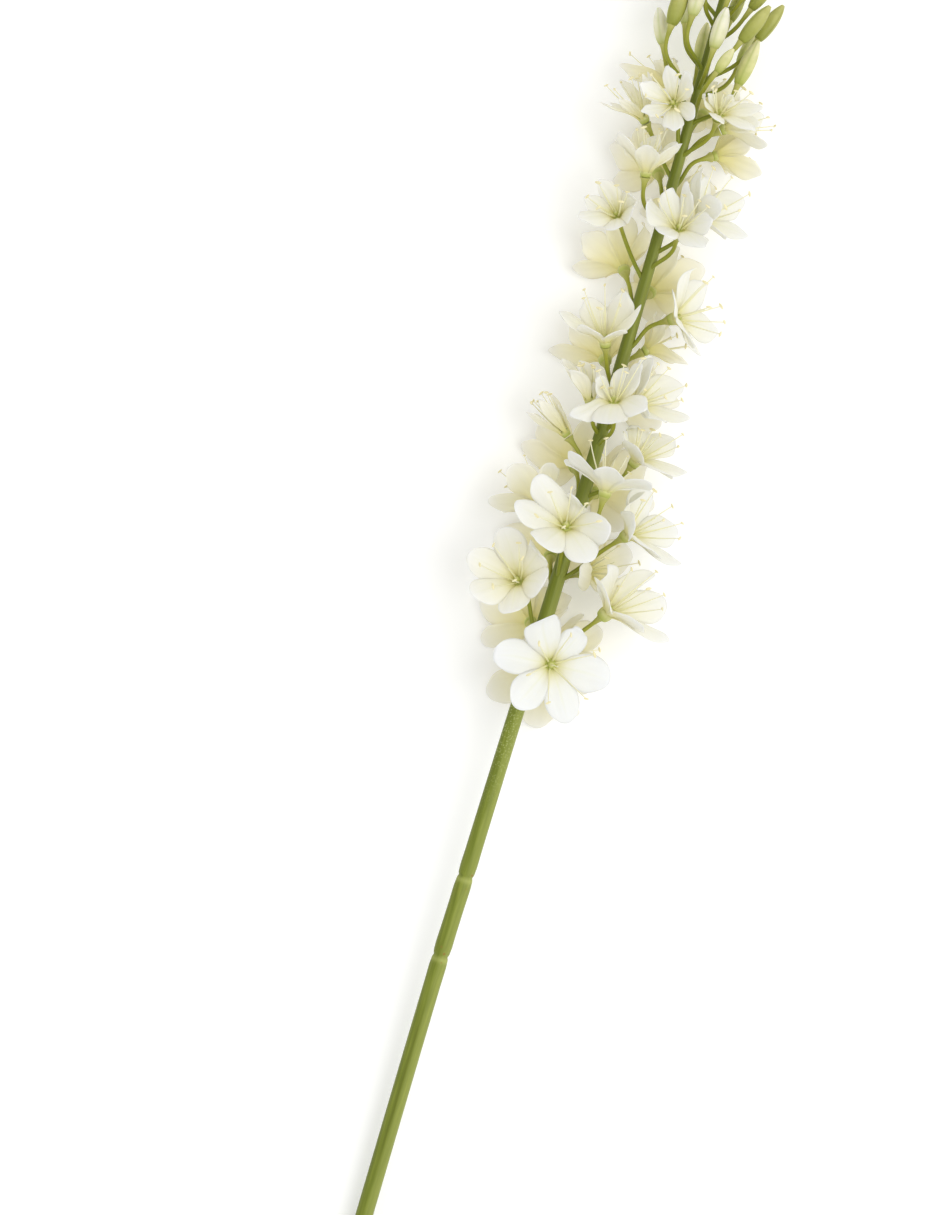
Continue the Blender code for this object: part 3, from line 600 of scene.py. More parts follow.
def petal_plate(flower, k, room, size):
    """The eleven points of petal k's plain plate."""
    petal = Petal(flower, k, room, size, PLATE_FOOT_WIDTH)
    turns = (petal.turn - WEDGE, petal.turn, petal.turn + WEDGE)
    root = [flower.foot + across(flower.axis, turn) * PLATE_ROOT for turn in turns]
    spots = []
    for s in PLATE_ROWS:
        point, heading, level = petal.at(np.array(s))
        half = petal.half * petal_width(s, PLATE_FOOT_WIDTH)
        dish = np.cross(level, heading) * PETAL_DISH * half
        spots += [point + level * half + dish, point, point - level * half + dish]
    point, _, level = petal.at(np.array(1.0))
    blunt = level * petal.half * PLATE_BLUNT
    spots += [point + blunt, point - blunt]
    return np.vstack([root, kept_inside(np.array(spots), room, petal.walls, -PLATE_GAP)])


def lies_open(plate, flower, size):
    """Whether a plate opens away from the flower's axis and is nowhere folded over or pinched."""
    p, q, r = (plate[PLATE_SKIN[:, i]] for i in range(3))
    normals = np.cross(q - p, r - p)
    mean = unit(normals.sum(axis=0))
    least = PLATE_AREA * size * size * flower.width
    if mean @ flower.axis < PLATE_OPEN or np.linalg.norm(normals, axis=1).min() < least:
        return False
    return (unit(normals) @ mean).min() > PLATE_OPEN


def open_share(flower, k, room):
    """The share of its full size at which petal k lies open in its room, in hundredths."""
    size = flower.size
    while size > SIZE_LEAST and not lies_open(petal_plate(flower, k, room, size), flower, size):
        size *= PLATE_SHRINK
    return round(size / flower.size, 2)


def petal_fitted(flower, k, room):
    """A petal's middle sheet, made smaller in steps while its shell would cross itself."""
    share = open_share(flower, k, room)
    best = None
    for step in range(PETAL_TRIES):
        draw = random.Random(SEED * 1000 + flower.number * 10 + k)
        sheet = petal_sheet(flower, k, room, draw, flower.size * PETAL_SHRINK ** step * share)
        faults = self_crossings(sheet)
        if best is None or faults < best[0]:
            best = (faults, sheet)
        if not faults:
            break
    return best[1]


def self_crossings(sheet):
    """How many pairs of a petal's faces cut each other without sharing a corner."""
    points, faces = petal_shell(sheet)[:2]
    tree = BVHTree.FromPolygons(points.tolist(), faces.tolist())
    corners = [set(face) for face in faces.tolist()]
    return sum(1 for a, b in tree.overlap(tree) if a < b and not corners[a] & corners[b])


def petal_sheet(flower, k, room, draw, size):
    """Petal k's middle sheet at a size: a grid of points, waved at the margin."""
    petal = Petal(flower, k, room, size, PETAL_FOOT_WIDTH)
    s, w = petal_layout(blend(PETAL_POINT, eased(*POINT_SPAN, flower.u)) * draw.uniform(*POINT_DRAW))
    middle, heading, level = petal.at(s)
    inner = np.cross(level, heading)
    t = np.linspace(-1.0, 1.0, COLUMNS)[None, :]
    phases = [draw.uniform(0.0, 2 * math.pi) for _ in range(3)]
    wave = np.where(t > 0, np.sin(WAVES[0] * s + phases[0]), np.sin(WAVES[1] * s + phases[1]))
    lift = PETAL_DISH * petal.half * w * w + WAVE_HEIGHT * size * wave * np.abs(t) ** 3 * s
    lift = lift + FOLD_HEIGHT * np.cos(FOLDS * t + phases[2]) * np.sin(math.pi * s)
    sheet = middle + level * (w * petal.half)[..., None] + inner * lift[..., None]
    free = sheet
    for _ in range(PRESS_ROUNDS):
        pushed = kept_inside(sheet.reshape(-1, 3), room, petal.walls, PETAL_OVERLAP)
        sheet = free + blurred(blurred(pushed.reshape(free.shape) - free))
    sunk = sheet[:1] - heading[:1] * FOOT_SUNK
    return np.vstack([sunk, sheet])


def grid_normals(sheet):
    """Unit normals of a grid of points, evened out, since the grid folds flat at its far corners."""
    down = np.gradient(sheet, axis=0)
    right = np.gradient(sheet, axis=1)
    return unit(blurred(blurred(np.cross(right, down))))


def petal_shell(sheet):
    """The points and faces of a closed petal about a middle sheet, and its points' attributes."""
    rows, columns = sheet.shape[:2]
    s, _ = petal_layout()
    s = np.vstack([s[:1], s])
    t = np.repeat(np.linspace(-1.0, 1.0, columns)[None], rows, axis=0)
    rim = np.maximum(np.abs(t), np.linspace(0.0, 1.0, rows)[:, None] ** 3)
    half = blend(PETAL_THICK, s) / 2 * (1.0 - rim ** 4) + MARGIN_THIN / 2 * rim ** 4
    lift = grid_normals(sheet) * half[..., None]
    points = np.vstack([(sheet + lift).reshape(-1, 3), (sheet - lift).reshape(-1, 3)])
    index = np.arange(rows * columns).reshape(rows, columns)
    corners = [index[:-1, :-1], index[:-1, 1:], index[1:, 1:], index[1:, :-1]]
    top = np.stack(corners, axis=-1).reshape(-1, 4)
    below = top[:, ::-1] + rows * columns
    edge = np.concatenate([index[0, :-1], index[:-1, -1], index[-1, :0:-1], index[:0:-1, 0]])
    beside = np.roll(edge, -1)
    rim_faces = np.stack([beside, edge, edge + rows * columns, beside + rows * columns], axis=1)
    faces = np.vstack([top, below, rim_faces])
    under = np.repeat((0.0, 1.0), rows * columns)
    return points, faces, np.tile(s.ravel(), 2), np.tile(t.ravel(), 2), under


def set_attributes(mesh, attributes, kind="FLOAT", field="value"):
    """Give the points of a mesh their values of each attribute."""
    for key, values in attributes.items():
        attribute = mesh.attributes.new(key, kind, "POINT")
        attribute.data.foreach_set(field, np.asarray(values, np.float32))


def make_mesh(name, points, faces, attributes):
    """A mesh in metres from points in millimetres, facing outwards and smooth."""
    mesh = bpy.data.meshes.new(name)
    mesh.from_pydata((np.asarray(points) * MM).tolist(), [], [list(face) for face in faces])
    set_attributes(mesh, attributes)
    shape = bmesh.new()
    shape.from_mesh(mesh)
    bmesh.ops.recalc_face_normals(shape, faces=shape.faces)
    shape.to_mesh(mesh)
    shape.free()
    mesh.polygons.foreach_set("use_smooth", [True] * len(mesh.polygons))
    return mesh


def make_object(name, mesh, finish=None):
    item = bpy.data.objects.new(name, mesh)
    bpy.context.scene.collection.objects.link(item)
    if finish:
        mesh.materials.append(finish)
    return item


def flower_petals(flower, sheets, finish):
    """The six petals of a flower, one piece."""
    shells = [petal_shell(sheet) for sheet in sheets]
    points, _, *skins = (np.concatenate(part) for part in zip(*shells))
    faces = np.vstack([shell[1] + i * len(shell[0]) for i, shell in enumerate(shells)])
    attributes = dict(zip(("along", "across", "under"), skins))
    # The cream share: part the flower's own colour, part painted warm shade.
    attributes["cream"] = np.full(len(points), flower_cream_and_shade(flower))
    name = f"petals_{flower.number:02d}"
    return make_object(name, make_mesh(name, points, faces, attributes), finish)


def flower_cream_and_shade(flower):
    """How cream a flower is: the closed ones are creamier, and those below the stalk are painted creamier
    as painted warm shade.
    """
    # Painted warm shade: the lower a flower lies below the stalk, the creamier it is made.
    depth = 1.0 - eased(*PAINTED_SHADE_HEIGHTS, flower.height)
    closed = 1.0 - eased(*CREAM_SPREADS, flower.spread)
    return min(CREAM_AND_SHADE_SHARES[0] * depth + CREAM_AND_SHADE_SHARES[1] * closed, CREAM_AND_SHADE_MOST)


def stamen_paths(flower, room, sheets, draw):
    """Six thin curved lines from round the ovary, each as long as there is room for."""
    near = np.vstack([sheet[3:].reshape(-1, 3) for sheet in sheets])
    paths = []
    for k in range(6):
        sway = draw.uniform(-STAMEN_TURN_DRAW, STAMEN_TURN_DRAW)
        out = across(flower.axis, math.radians(flower.roll + 60.0 * k + 30.0 + sway))
        start = flower.foot + flower.axis * STAMEN_FOOT[0] + out * STAMEN_FOOT[1]
        lean = draw.uniform(-STAMEN_TILT_DRAW, STAMEN_TILT_DRAW)
        tilt = math.radians(flower.spread * STAMEN_SPREAD + lean)
        curl = draw.uniform(*STAMEN_CURL)
        length = STAMEN_LENGTH * flower.size * draw.uniform(*STAMEN_LENGTH_DRAW)
        path = [start]
        for i in range(STAMEN_STEPS):
            angle = tilt * (STAMEN_TILT - curl * i / STAMEN_STEPS)
            heading = flower.axis * math.cos(angle) + out * math.sin(angle)
            point = path[-1] + heading * (length / STAMEN_STEPS)
            if i > 2 and not stamen_fits(point, room, near):
                break
            path.append(point)
        paths.append(np.array(path))
    return paths


def stamen_fits(point, room, near):
    if point[2] < STAMEN_FLOOR or room.depths(point[None])[0].min() < STAMEN_ROOM:
        return False
    return np.linalg.norm(near - point, axis=1).min() > STAMEN_CLEAR


def lines_mesh(name, paths, thickness):
    """A mesh of edges only, for a node tree to turn into stems: paths, with radii along each."""
    points, edges, widths, along = [], [], [], []
    for path, radii in zip(paths, thickness):
        first = len(points)
        points += [tuple(point * MM) for point in path]
        edges += [(first + i, first + i + 1) for i in range(len(path) - 1)]
        widths += [radius * MM for radius in radii]
        along += list(np.linspace(0.0, 1.0, len(path)))
    mesh = bpy.data.meshes.new(name)
    mesh.from_pydata(points, edges, [])
    set_attributes(mesh, {"thickness": widths, "along": along})
    return mesh


def spots_mesh(name, spots):
    """A mesh of loose points, each with the turn and scale of what a node tree sets on it.

    A spot is a point, the shape's up direction, its front direction, and its scale.
    """
    mesh = bpy.data.meshes.new(name)
    mesh.from_pydata([tuple(spot[0] * MM) for spot in spots], [], [])
    turned, sized = [], []
    for _, up, front, scale in spots:
        up = Vector(up).normalized()
        side = up.cross(Vector(front)).normalized()
        turned += list(Matrix((side.cross(up), side, up)).transposed().to_euler())
        sized += list(scale)
    set_attributes(mesh, {"turned": turned, "sized": sized}, "FLOAT_VECTOR", "vector")
    return mesh


def add_node(tree, kind, settings=None, values=None, links=None):
    """Add a node: its settings by attribute name, its inputs' values, and links to its inputs."""
    node = tree.nodes.new(kind)
    for key, value in (settings or {}).items():
        setattr(node, key, value)
    for key, value in (values or {}).items():
        node.inputs[key].default_value = value
    for key, source in (links or {}).items():
        tree.links.new(source, node.inputs[key])
    return node


def start_tree(name, inputs, result):
    """A node tree with inputs by name and kind and one result: the tree and what it is given."""
    tree = bpy.data.node_groups.new(name, "GeometryNodeTree")
    for key, kind in inputs.items():
        tree.interface.new_socket(key, in_out="INPUT", socket_type="NodeSocket" + kind)
    tree.interface.new_socket(result, in_out="OUTPUT", socket_type="NodeSocketGeometry")
    return tree, add_node(tree, "NodeGroupInput").outputs


def end_tree(tree, geometry, finish, result):
    """End a node tree with its geometry made real and given its finish."""
    real = add_node(tree, "GeometryNodeRealizeInstances", links={"Geometry": geometry})
    finished = add_node(
        tree, "GeometryNodeSetMaterial",
        links={"Geometry": real.outputs["Geometry"], "Material": finish},
    )
    add_node(tree, "NodeGroupOutput", links={result: finished.outputs["Geometry"]})
    return tree


def stems_tree():
    """A node tree that gives lines a round body, as thick as their thickness attribute says."""
    inputs = {"Lines": "Geometry", "Sides": "Int", "Finish": "Material"}
    tree, given = start_tree("stems along lines", inputs, "Stems")
    curves = add_node(tree, "GeometryNodeMeshToCurve", links={"Mesh": given["Lines"]})
    circle = add_node(
        tree, "GeometryNodeCurvePrimitiveCircle", values={"Radius": 1.0},
        links={"Resolution": given["Sides"]},
    )
    thickness = add_node(tree, "GeometryNodeInputNamedAttribute", values={"Name": "thickness"})
    bodies = add_node(
        tree, "GeometryNodeCurveToMesh", values={"Fill Caps": True},
        links={
            "Curve": curves.outputs["Curve"],
            "Profile Curve": circle.outputs["Curve"],
            "Scale": thickness.outputs["Attribute"],
        },
    )
    smooth = add_node(tree, "GeometryNodeSetShadeSmooth", links={"Geometry": bodies.outputs["Mesh"]})
    return end_tree(tree, smooth.outputs["Geometry"], given["Finish"], "Stems")


def shapes_tree():
    """A node tree that sets a shape on each point, turned and scaled as its attributes say."""
    inputs = {"Points": "Geometry", "Shape": "Object", "Finish": "Material"}
    tree, given = start_tree("shapes on points", inputs, "Shapes")
    shape = add_node(tree, "GeometryNodeObjectInfo", links={"Object": given["Shape"]})
    vector = {"data_type": "FLOAT_VECTOR"}
    turned = add_node(tree, "GeometryNodeInputNamedAttribute", vector, {"Name": "turned"})
    sized = add_node(tree, "GeometryNodeInputNamedAttribute", vector, {"Name": "sized"})
    turn = add_node(tree, "FunctionNodeEulerToRotation", links={"Euler": turned.outputs["Attribute"]})
    placed = add_node(
        tree, "GeometryNodeInstanceOnPoints",
        links={
            "Points": given["Points"],
            "Instance": shape.outputs["Geometry"],
            "Rotation": turn.outputs["Rotation"],
            "Scale": sized.outputs["Attribute"],
        },
    )
    return end_tree(tree, placed.outputs["Instances"], given["Finish"], "Shapes")


def grown(name, start_mesh, tree, inputs):
    """Run a node tree on a mesh and keep its result as a plain object."""
    carrier = make_object("carrier", start_mesh)
    modifier = carrier.modifiers.new("tree", "NODES")
    modifier.node_group = tree
    for socket in tree.interface.items_tree:
        if socket.in_out == "INPUT" and socket.name in inputs:
            modifier[socket.identifier] = inputs[socket.name]
    bpy.context.view_layer.update()
    graph = bpy.context.evaluated_depsgraph_get()
    made = carrier.evaluated_get(graph)
    mesh = bpy.data.meshes.new_from_object(made, preserve_all_data_layers=True, depsgraph=graph)
    mesh.name = name
    bpy.data.objects.remove(carrier, do_unlink=True)
    return make_object(name, mesh)


def set_out(name, spots, make_shape, tree, finish):
    """A shape set on every spot, as one object."""
    shape = make_shape()
    made = grown(name, spots_mesh(name + "_spots", spots), tree, {"Shape": shape, "Finish": finish})
    bpy.data.objects.remove(shape, do_unlink=True)
    return made


def lathe(name, profile, sides, shape_radius, rib=None):
    """A hidden shape turned about Z from (z, radius, tone) rows, closed at both ends."""
    angles = np.linspace(0.0, 2 * math.pi, sides, endpoint=False)
    points, tones, ribs = [], [], []
    for z, radius, tone in profile:
        for angle in angles:
            share = shape_radius(angle, z)
            points.append((math.cos(angle) * radius * share, math.sin(angle) * radius * share, z))
            tones.append(tone)
            ribs.append(rib(angle) if rib else 0.0)
    faces = []
    for r in range(len(profile) - 1):
        for i in range(sides):
            j = (i + 1) % sides
            faces.append((r * sides + i, r * sides + j, (r + 1) * sides + j, (r + 1) * sides + i))
    last = (len(profile) - 1) * sides
    faces += [tuple(range(sides)), tuple(range(last, last + sides))]
    shape = make_object(name, make_mesh(name, points, faces, {"tone": tones, "rib": ribs}))
    shape.hide_render = True
    return shape


def bud_shape():
    """A bud one millimetre long and wide: three outer petals closed over it, each with a rib."""
    rows = 15
    profile = []
    for i in range(rows):
        s = i / (rows - 1)
        swell = 0.5 * math.sin(math.pi * (0.13 + 0.8 * s ** 0.92)) ** 0.62
        profile.append((s, swell * (1.0 - 0.4 * s ** 9), s))

    def notched(angle, z):
        seam = abs(math.cos(1.5 * angle)) ** 14
        return 1.0 - 0.11 * seam * math.sin(math.pi * min(z * 1.05, 1.0)) + 0.02 * math.cos(6 * angle)

    def rib(angle):
        return 0.55 * math.cos(1.5 * angle + math.pi / 2) ** 20

    return lathe("bud_shape", profile, 24, notched, rib)


def anther_shape():
    """An anther one millimetre long along X: two lobes with a groove between them."""
    count = 9
    profile = []
    for i in range(count):
        s = i / (count - 1)
        profile.append((s - 0.5, 0.22 * math.sin(math.pi * (0.06 + 0.88 * s)) ** 0.55, s))

    def lobed(angle, z):
        return 1.0 - 0.28 * abs(math.cos(angle)) ** 8 + 0.08 * math.sin(3 * angle)

    return lathe("anther_shape", profile, 10, lobed)


def pistil_shape():
    """The flower's centre, in millimetres: receptacle, ovary with three lobes, and style."""
    profile = [
        (-2.75, 1.75, 0.05), (-2.4, 1.95, 0.1), (-1.6, 2.2, 0.3), (-0.8, 2.3, 0.45), (-0.1, 2.15, 0.45),
        (0.3, 1.8, 0.3), (0.45, 1.35, 0.1), (0.5, 1.0, 0.05), (0.75, 1.12, 0.12), (1.2, 1.25, 0.2),
        (1.7, 1.15, 0.25), (2.15, 0.8, 0.35), (2.45, 0.4, 0.5), (2.9, 0.24, 0.7), (5.0, 0.2, 0.9),
        (8.0, 0.17, 1.0), (10.6, 0.15, 1.0), (10.9, 0.26, 1.0), (11.2, 0.22, 1.0),
    ]

    def lobed(angle, z):
        return 1.0 - (0.12 * abs(math.cos(1.5 * angle)) ** 6 if 0.5 < z < 2.4 else 0.0)

    return lathe("pistil_shape", profile, 18, lobed)


def scape_mesh():
    """The flowering stem: joints, a groove in its lower part, and a plain cut end."""
    first, last = STALK[0][0], STALK[-1][0]
    fine = [np.arange(joint - JOINT_REACH, joint + JOINT_REACH, JOINT_STEP) for joint in JOINTS]
    u = np.unique(np.concatenate([np.linspace(first, last, int((last - first) / SCAPE_STEP)), *fine]))
    middles, radius = stalk_points(u), stalk_at(u)[:, 2] * SCAPE_INSIDE
    directions = unit(stalk_points(u + 0.5) - stalk_points(u - 0.5))
    sides = unit(np.cross(directions, (0.0, 0.0, 1.0)))
    ups = np.cross(sides, directions)
    collar = np.zeros(len(u))
    for joint in JOINTS:
        off = u - joint
        crease, waist = (share * np.exp(-(off / wide) ** 2) for share, wide in (JOINT_CREASE, JOINT_WAIST))
        radius *= 1.0 - crease - waist
        share, at, wide = JOINT_SWELL
        radius *= 1.0 + share * np.exp(-((np.abs(off) - at) / wide) ** 2)
        collar += np.exp(-(off + COLLAR_BELOW) ** 2)
    theta = np.linspace(0.0, 2 * math.pi, SCAPE_SIDES, endpoint=False)
    groove = eased(*GROOVE_SPAN[:2], u) * (1.0 - eased(*GROOVE_SPAN[2:], u))
    notch = np.exp(-((np.angle(np.exp(1j * (theta - GROOVE_TURN)))) / GROOVE_WIDTH) ** 2)
    rings = radius[:, None] * (1.0 + 0.012 * np.cos(3 * theta + 0.4) + 0.008 * np.cos(5 * theta))
    grooved = groove[:, None] * notch[None]
    rings = rings - GROOVE_DEPTH * grooved
    stippled = np.exp(-((u - STIPPLE_AT) / STIPPLE_REACH) ** 2)
    beside = sum(np.exp(-((u - joint) / JOINT_FLECKED) ** 2) for joint in JOINTS)
    # Painted shade among the flowers, painted shade on the side away from the key light, and painted light
    # on the side towards it.
    painted_shade_among_flowers = 0.4 * eased(*SHADED_SPAN[:2], u) * (1.0 - eased(*SHADED_SPAN[2:], u))
    shade_side = eased(0.1, 0.9, -np.cos(theta))
    sun_side = eased(0.3, 0.95, np.cos(theta - 0.5))
    points = middles[:, None] + rings[..., None] * (
        sides[:, None] * np.cos(theta)[None, :, None] + ups[:, None] * np.sin(theta)[None, :, None]
    )
    count = len(u)
    index = np.arange(count * SCAPE_SIDES).reshape(count, SCAPE_SIDES)
    nxt = np.roll(index, -1, axis=1)
    body = np.stack([index[:-1], nxt[:-1], nxt[1:], index[1:]], axis=-1).reshape(-1, 4)
    faces = [tuple(face) for face in body]
    faces.append(tuple(index[-1]))
    points = points.reshape(-1, 3)
    cut = [0.0] * len(points)
    # The groove attribute is all painted shade: in the groove, among the flowers and on the shaded side.
    # The collar attribute is the pale rim at each joint plus painted light on the lit side.
    skin = {
        "groove": list((0.7 * grooved + painted_shade_among_flowers[:, None] + 0.3 * shade_side).ravel()),
        "collar": list((0.4 * collar[:, None] + 0.3 * sun_side).ravel()),
        "stippled": list(np.repeat(0.5 * stippled, SCAPE_SIDES)),
        "joint": list(np.repeat(0.8 * beside, SCAPE_SIDES)),
    }
    run = list(index[0])
    for share, sunk in ((0.97, 0.0), (0.8, 0.12), (0.45, 0.2), (0.15, 0.22)):
        ring = middles[0] + (points[index[0]] - middles[0]) * share + directions[0] * sunk
        start = len(points)
        points = np.vstack([points, ring])
        cut += [1.0] * SCAPE_SIDES
        new = [start + i for i in range(SCAPE_SIDES)]
        for i in range(SCAPE_SIDES):
            j = (i + 1) % SCAPE_SIDES
            faces.append((run[i], run[j], new[j], new[i]))
        run = new
    faces.append(tuple(run))
    skin = {key: values + [0.0] * (len(points) - len(values)) for key, values in skin.items()}
    return make_mesh("scape", points, faces, {"cut": cut, **skin})


def pedicel_lines(flowers, buds):
    """Flower stalks' lines and radii: a little wider where they leave, a cup at the end."""
    paths, radii = [], []
    for item in flowers + buds:
        cup = CUP_RADIUS if isinstance(item, Flower) else item.width * BUD_CUP
        base = item.stalk[:-1]
        fine = np.linspace(0.0, len(base) - 1.0, FINE_POINTS)
        path = np.stack([np.interp(fine, np.arange(len(base)), base[:, c]) for c in range(3)], axis=1)
        end = item.stalk[-1]
        top = [path[-1] + (end - path[-1]) * t for t in CUP_AT]
        thick = PEDICEL_RADIUS * (0.86 + 0.3 * np.exp(-np.arange(FINE_POINTS) / 1.5))
        widen = [PEDICEL_RADIUS + (cup - PEDICEL_RADIUS) * t for t in CUP_WIDENS]
        paths.append(np.vstack([path, top]))
        radii.append(list(thick) + widen)
    return paths, radii


def tip_parts():
    """The tip's small buds: lines and radii of their stalks, and spots for the buds."""
    draw = random.Random(SEED)
    paths, radii, spots = [], [], []
    for i in range(TIP_BUDS):
        t = i / (TIP_BUDS - 1)
        u = blend((TIP_START, TIP_END), t ** 0.9)
        turn = math.radians(TIP_FIRST + TIP_TURN * i + draw.uniform(-1, 1) * TIP_TURN_SPREAD)
        reach = blend(TIP_REACH, t ** 0.8)
        out = np.array((math.sin(turn), 0.0, math.cos(turn)))
        along = stalk_direction(min(u, TIP_END - 2))
        root = stalk_point(u - reach * TIP_DROP)
        foot = stalk_point(u) + out * reach
        axis = unit(along + out * blend(TIP_LEAN, t))
        length, radius, stem = blend(TIP_LENGTH, t), blend(TIP_RADIUS, t), blend(TIP_STEM, t)
        elbow = (root + foot) / 2 + out * (reach * TIP_ELBOW)
        pull = foot - axis * (reach * TIP_PULL)
        q = np.linspace(0.0, 1.0, len(TIP_THICK))[:, None]
        p = 1 - q
        paths.append(p ** 3 * root + 3 * p ** 2 * q * elbow + 3 * p * q * q * pull + q ** 3 * foot)
        radii.append(list(stem * np.array(TIP_THICK)))
        scale = (radius * TIP_SCALE, radius * TIP_SCALE, length)
        spots.append((foot - axis * TIP_SUNK, axis, across(axis, turn), scale))
    return paths, radii, spots


def linear(code):
    """An sRGB hex colour as linear RGBA."""
    parts = [int(code[i:i + 2], 16) / 255 for i in (1, 3, 5)]
    return (*[c / 12.92 if c <= 0.04045 else ((c + 0.055) / 1.055) ** 2.4 for c in parts], 1.0)


def new_material(name, roughness, ior=1.42):
    """A material with its shader and output ready: the material, its tree and the shader."""
    made = bpy.data.materials.new(name)
    made.use_nodes = True
    shader = made.node_tree.nodes["Principled BSDF"]
    shader.inputs["Roughness"].default_value = roughness
    shader.inputs["IOR"].default_value = ior
    return made, made.node_tree, shader


def set_stops(ramp, stops):
    """Give a colour ramp its stops, as places and hex colours."""
    elements = ramp.color_ramp.elements
    while len(elements) < len(stops):
        elements.new(0.5)
    for element, (at, code) in zip(elements, stops):
        element.position = at
        element.color = linear(code)


def petal_finish():
    """Living petal: thin, satin and a little see-through, cream-green at its foot, white beyond.

    It is given a painted glow that keeps its shaded side bright and warm, and flowers below the stalk are
    painted creamier, as painted warm shade.
    """
    made, tree, shader = new_material("living petal, satin white", 0.5)
    along, side, under, cream = (
        add_node(tree, "ShaderNodeAttribute", {"attribute_name": name}).outputs["Fac"]
        for name in ("along", "across", "under", "cream")
    )
    white = add_node(tree, "ShaderNodeValToRGB", links={"Fac": along})
    set_stops(white, PETAL_WHITE)
    # The creamier run, mixed in by the cream share, is partly painted warm shade on flowers below the
    # stalk.
    warm = add_node(tree, "ShaderNodeValToRGB", links={"Fac": along})
    set_stops(warm, PETAL_CREAM_AND_SHADE)
    base = add_node(
        tree, "ShaderNodeMix", {"data_type": "RGBA"},
        links={0: cream, 6: white.outputs["Color"], 7: warm.outputs["Color"]},
    )
    # Keel: a faint green-cream line down the middle, about 1 mm wide, stronger underneath and
    # at the foot.
    strongest = add_node(
        tree, "ShaderNodeMapRange", values={"To Min": 0.04, "To Max": 0.3}, links={"Value": under},
    )
    fading = add_node(
        tree, "ShaderNodeMapRange", values={"From Min": 1.0, "From Max": 0.0},
        links={"Value": along, "To Max": strongest.outputs["Result"]},
    )
    middle = add_node(tree, "ShaderNodeMath", {"operation": "ABSOLUTE"}, links={0: side})
    keel = add_node(
        tree, "ShaderNodeMapRange", values={"From Min": 0.12, "From Max": 0.0},
        links={"Value": middle.outputs["Value"], "To Max": fading.outputs["Result"]},
    )
    # Veins run along the petal, about 0.6 mm apart.
    spread = add_node(tree, "ShaderNodeCombineXYZ", links={"X": side, "Y": along})
    drawn_out = add_node(
        tree, "ShaderNodeMapping", values={"Scale": (9.0, 2.2, 1.0)},
        links={"Vector": spread.outputs["Vector"]},
    )
    vein = add_node(
        tree, "ShaderNodeTexNoise", values={"Scale": 1.0, "Detail": 2.0},
        links={"Vector": drawn_out.outputs["Vector"]},
    )
    thread = add_node(
        tree, "ShaderNodeMapRange", values={"From Min": 0.5, "To Max": 0.14},
        links={"Value": vein.outputs["Fac"]},
    )
    place_at = add_node(tree, "ShaderNodeTexCoord").outputs["Object"]
    patch = add_node(
        tree, "ShaderNodeTexNoise", values={"Scale": 1 / (9.0 * MM), "Detail": 3.0},
        links={"Vector": place_at},
    )
    dull = add_node(
        tree, "ShaderNodeMapRange", values={"From Min": 0.45, "To Max": 0.25},
        links={"Value": patch.outputs["Fac"]},
    )
    colour = base
    for code, share in (("#cdd096", keel), ("#d8d5c0", thread), ("#dad7cc", dull)):
        colour = add_node(
            tree, "ShaderNodeMix", {"data_type": "RGBA"}, {7: linear(code)},
            {0: share.outputs["Result"], 6: colour.outputs[2]},
        )
    bump = add_node(
        tree, "ShaderNodeBump", values={"Strength": 0.3, "Distance": 0.22 * MM},
        links={"Height": vein.outputs["Fac"]},
    )
    tree.links.new(colour.outputs[2], shader.inputs["Base Color"])
    tree.links.new(bump.outputs["Normal"], shader.inputs["Normal"])
    # A painted glow: every petal gives off a little light in its own colour, which brightens its shaded
    # parts.
    tree.links.new(colour.outputs[2], shader.inputs["Emission Color"])
    shader.inputs["Emission Strength"].default_value = PAINTED_PETAL_GLOW
    shader.inputs["Subsurface Weight"].default_value = 0.4
    shader.inputs["Subsurface Radius"].default_value = (1.0, 0.95, 0.75)
    shader.inputs["Subsurface Scale"].default_value = 1.6 * MM
    shader.inputs["Specular IOR Level"].default_value = 0.35
    return made


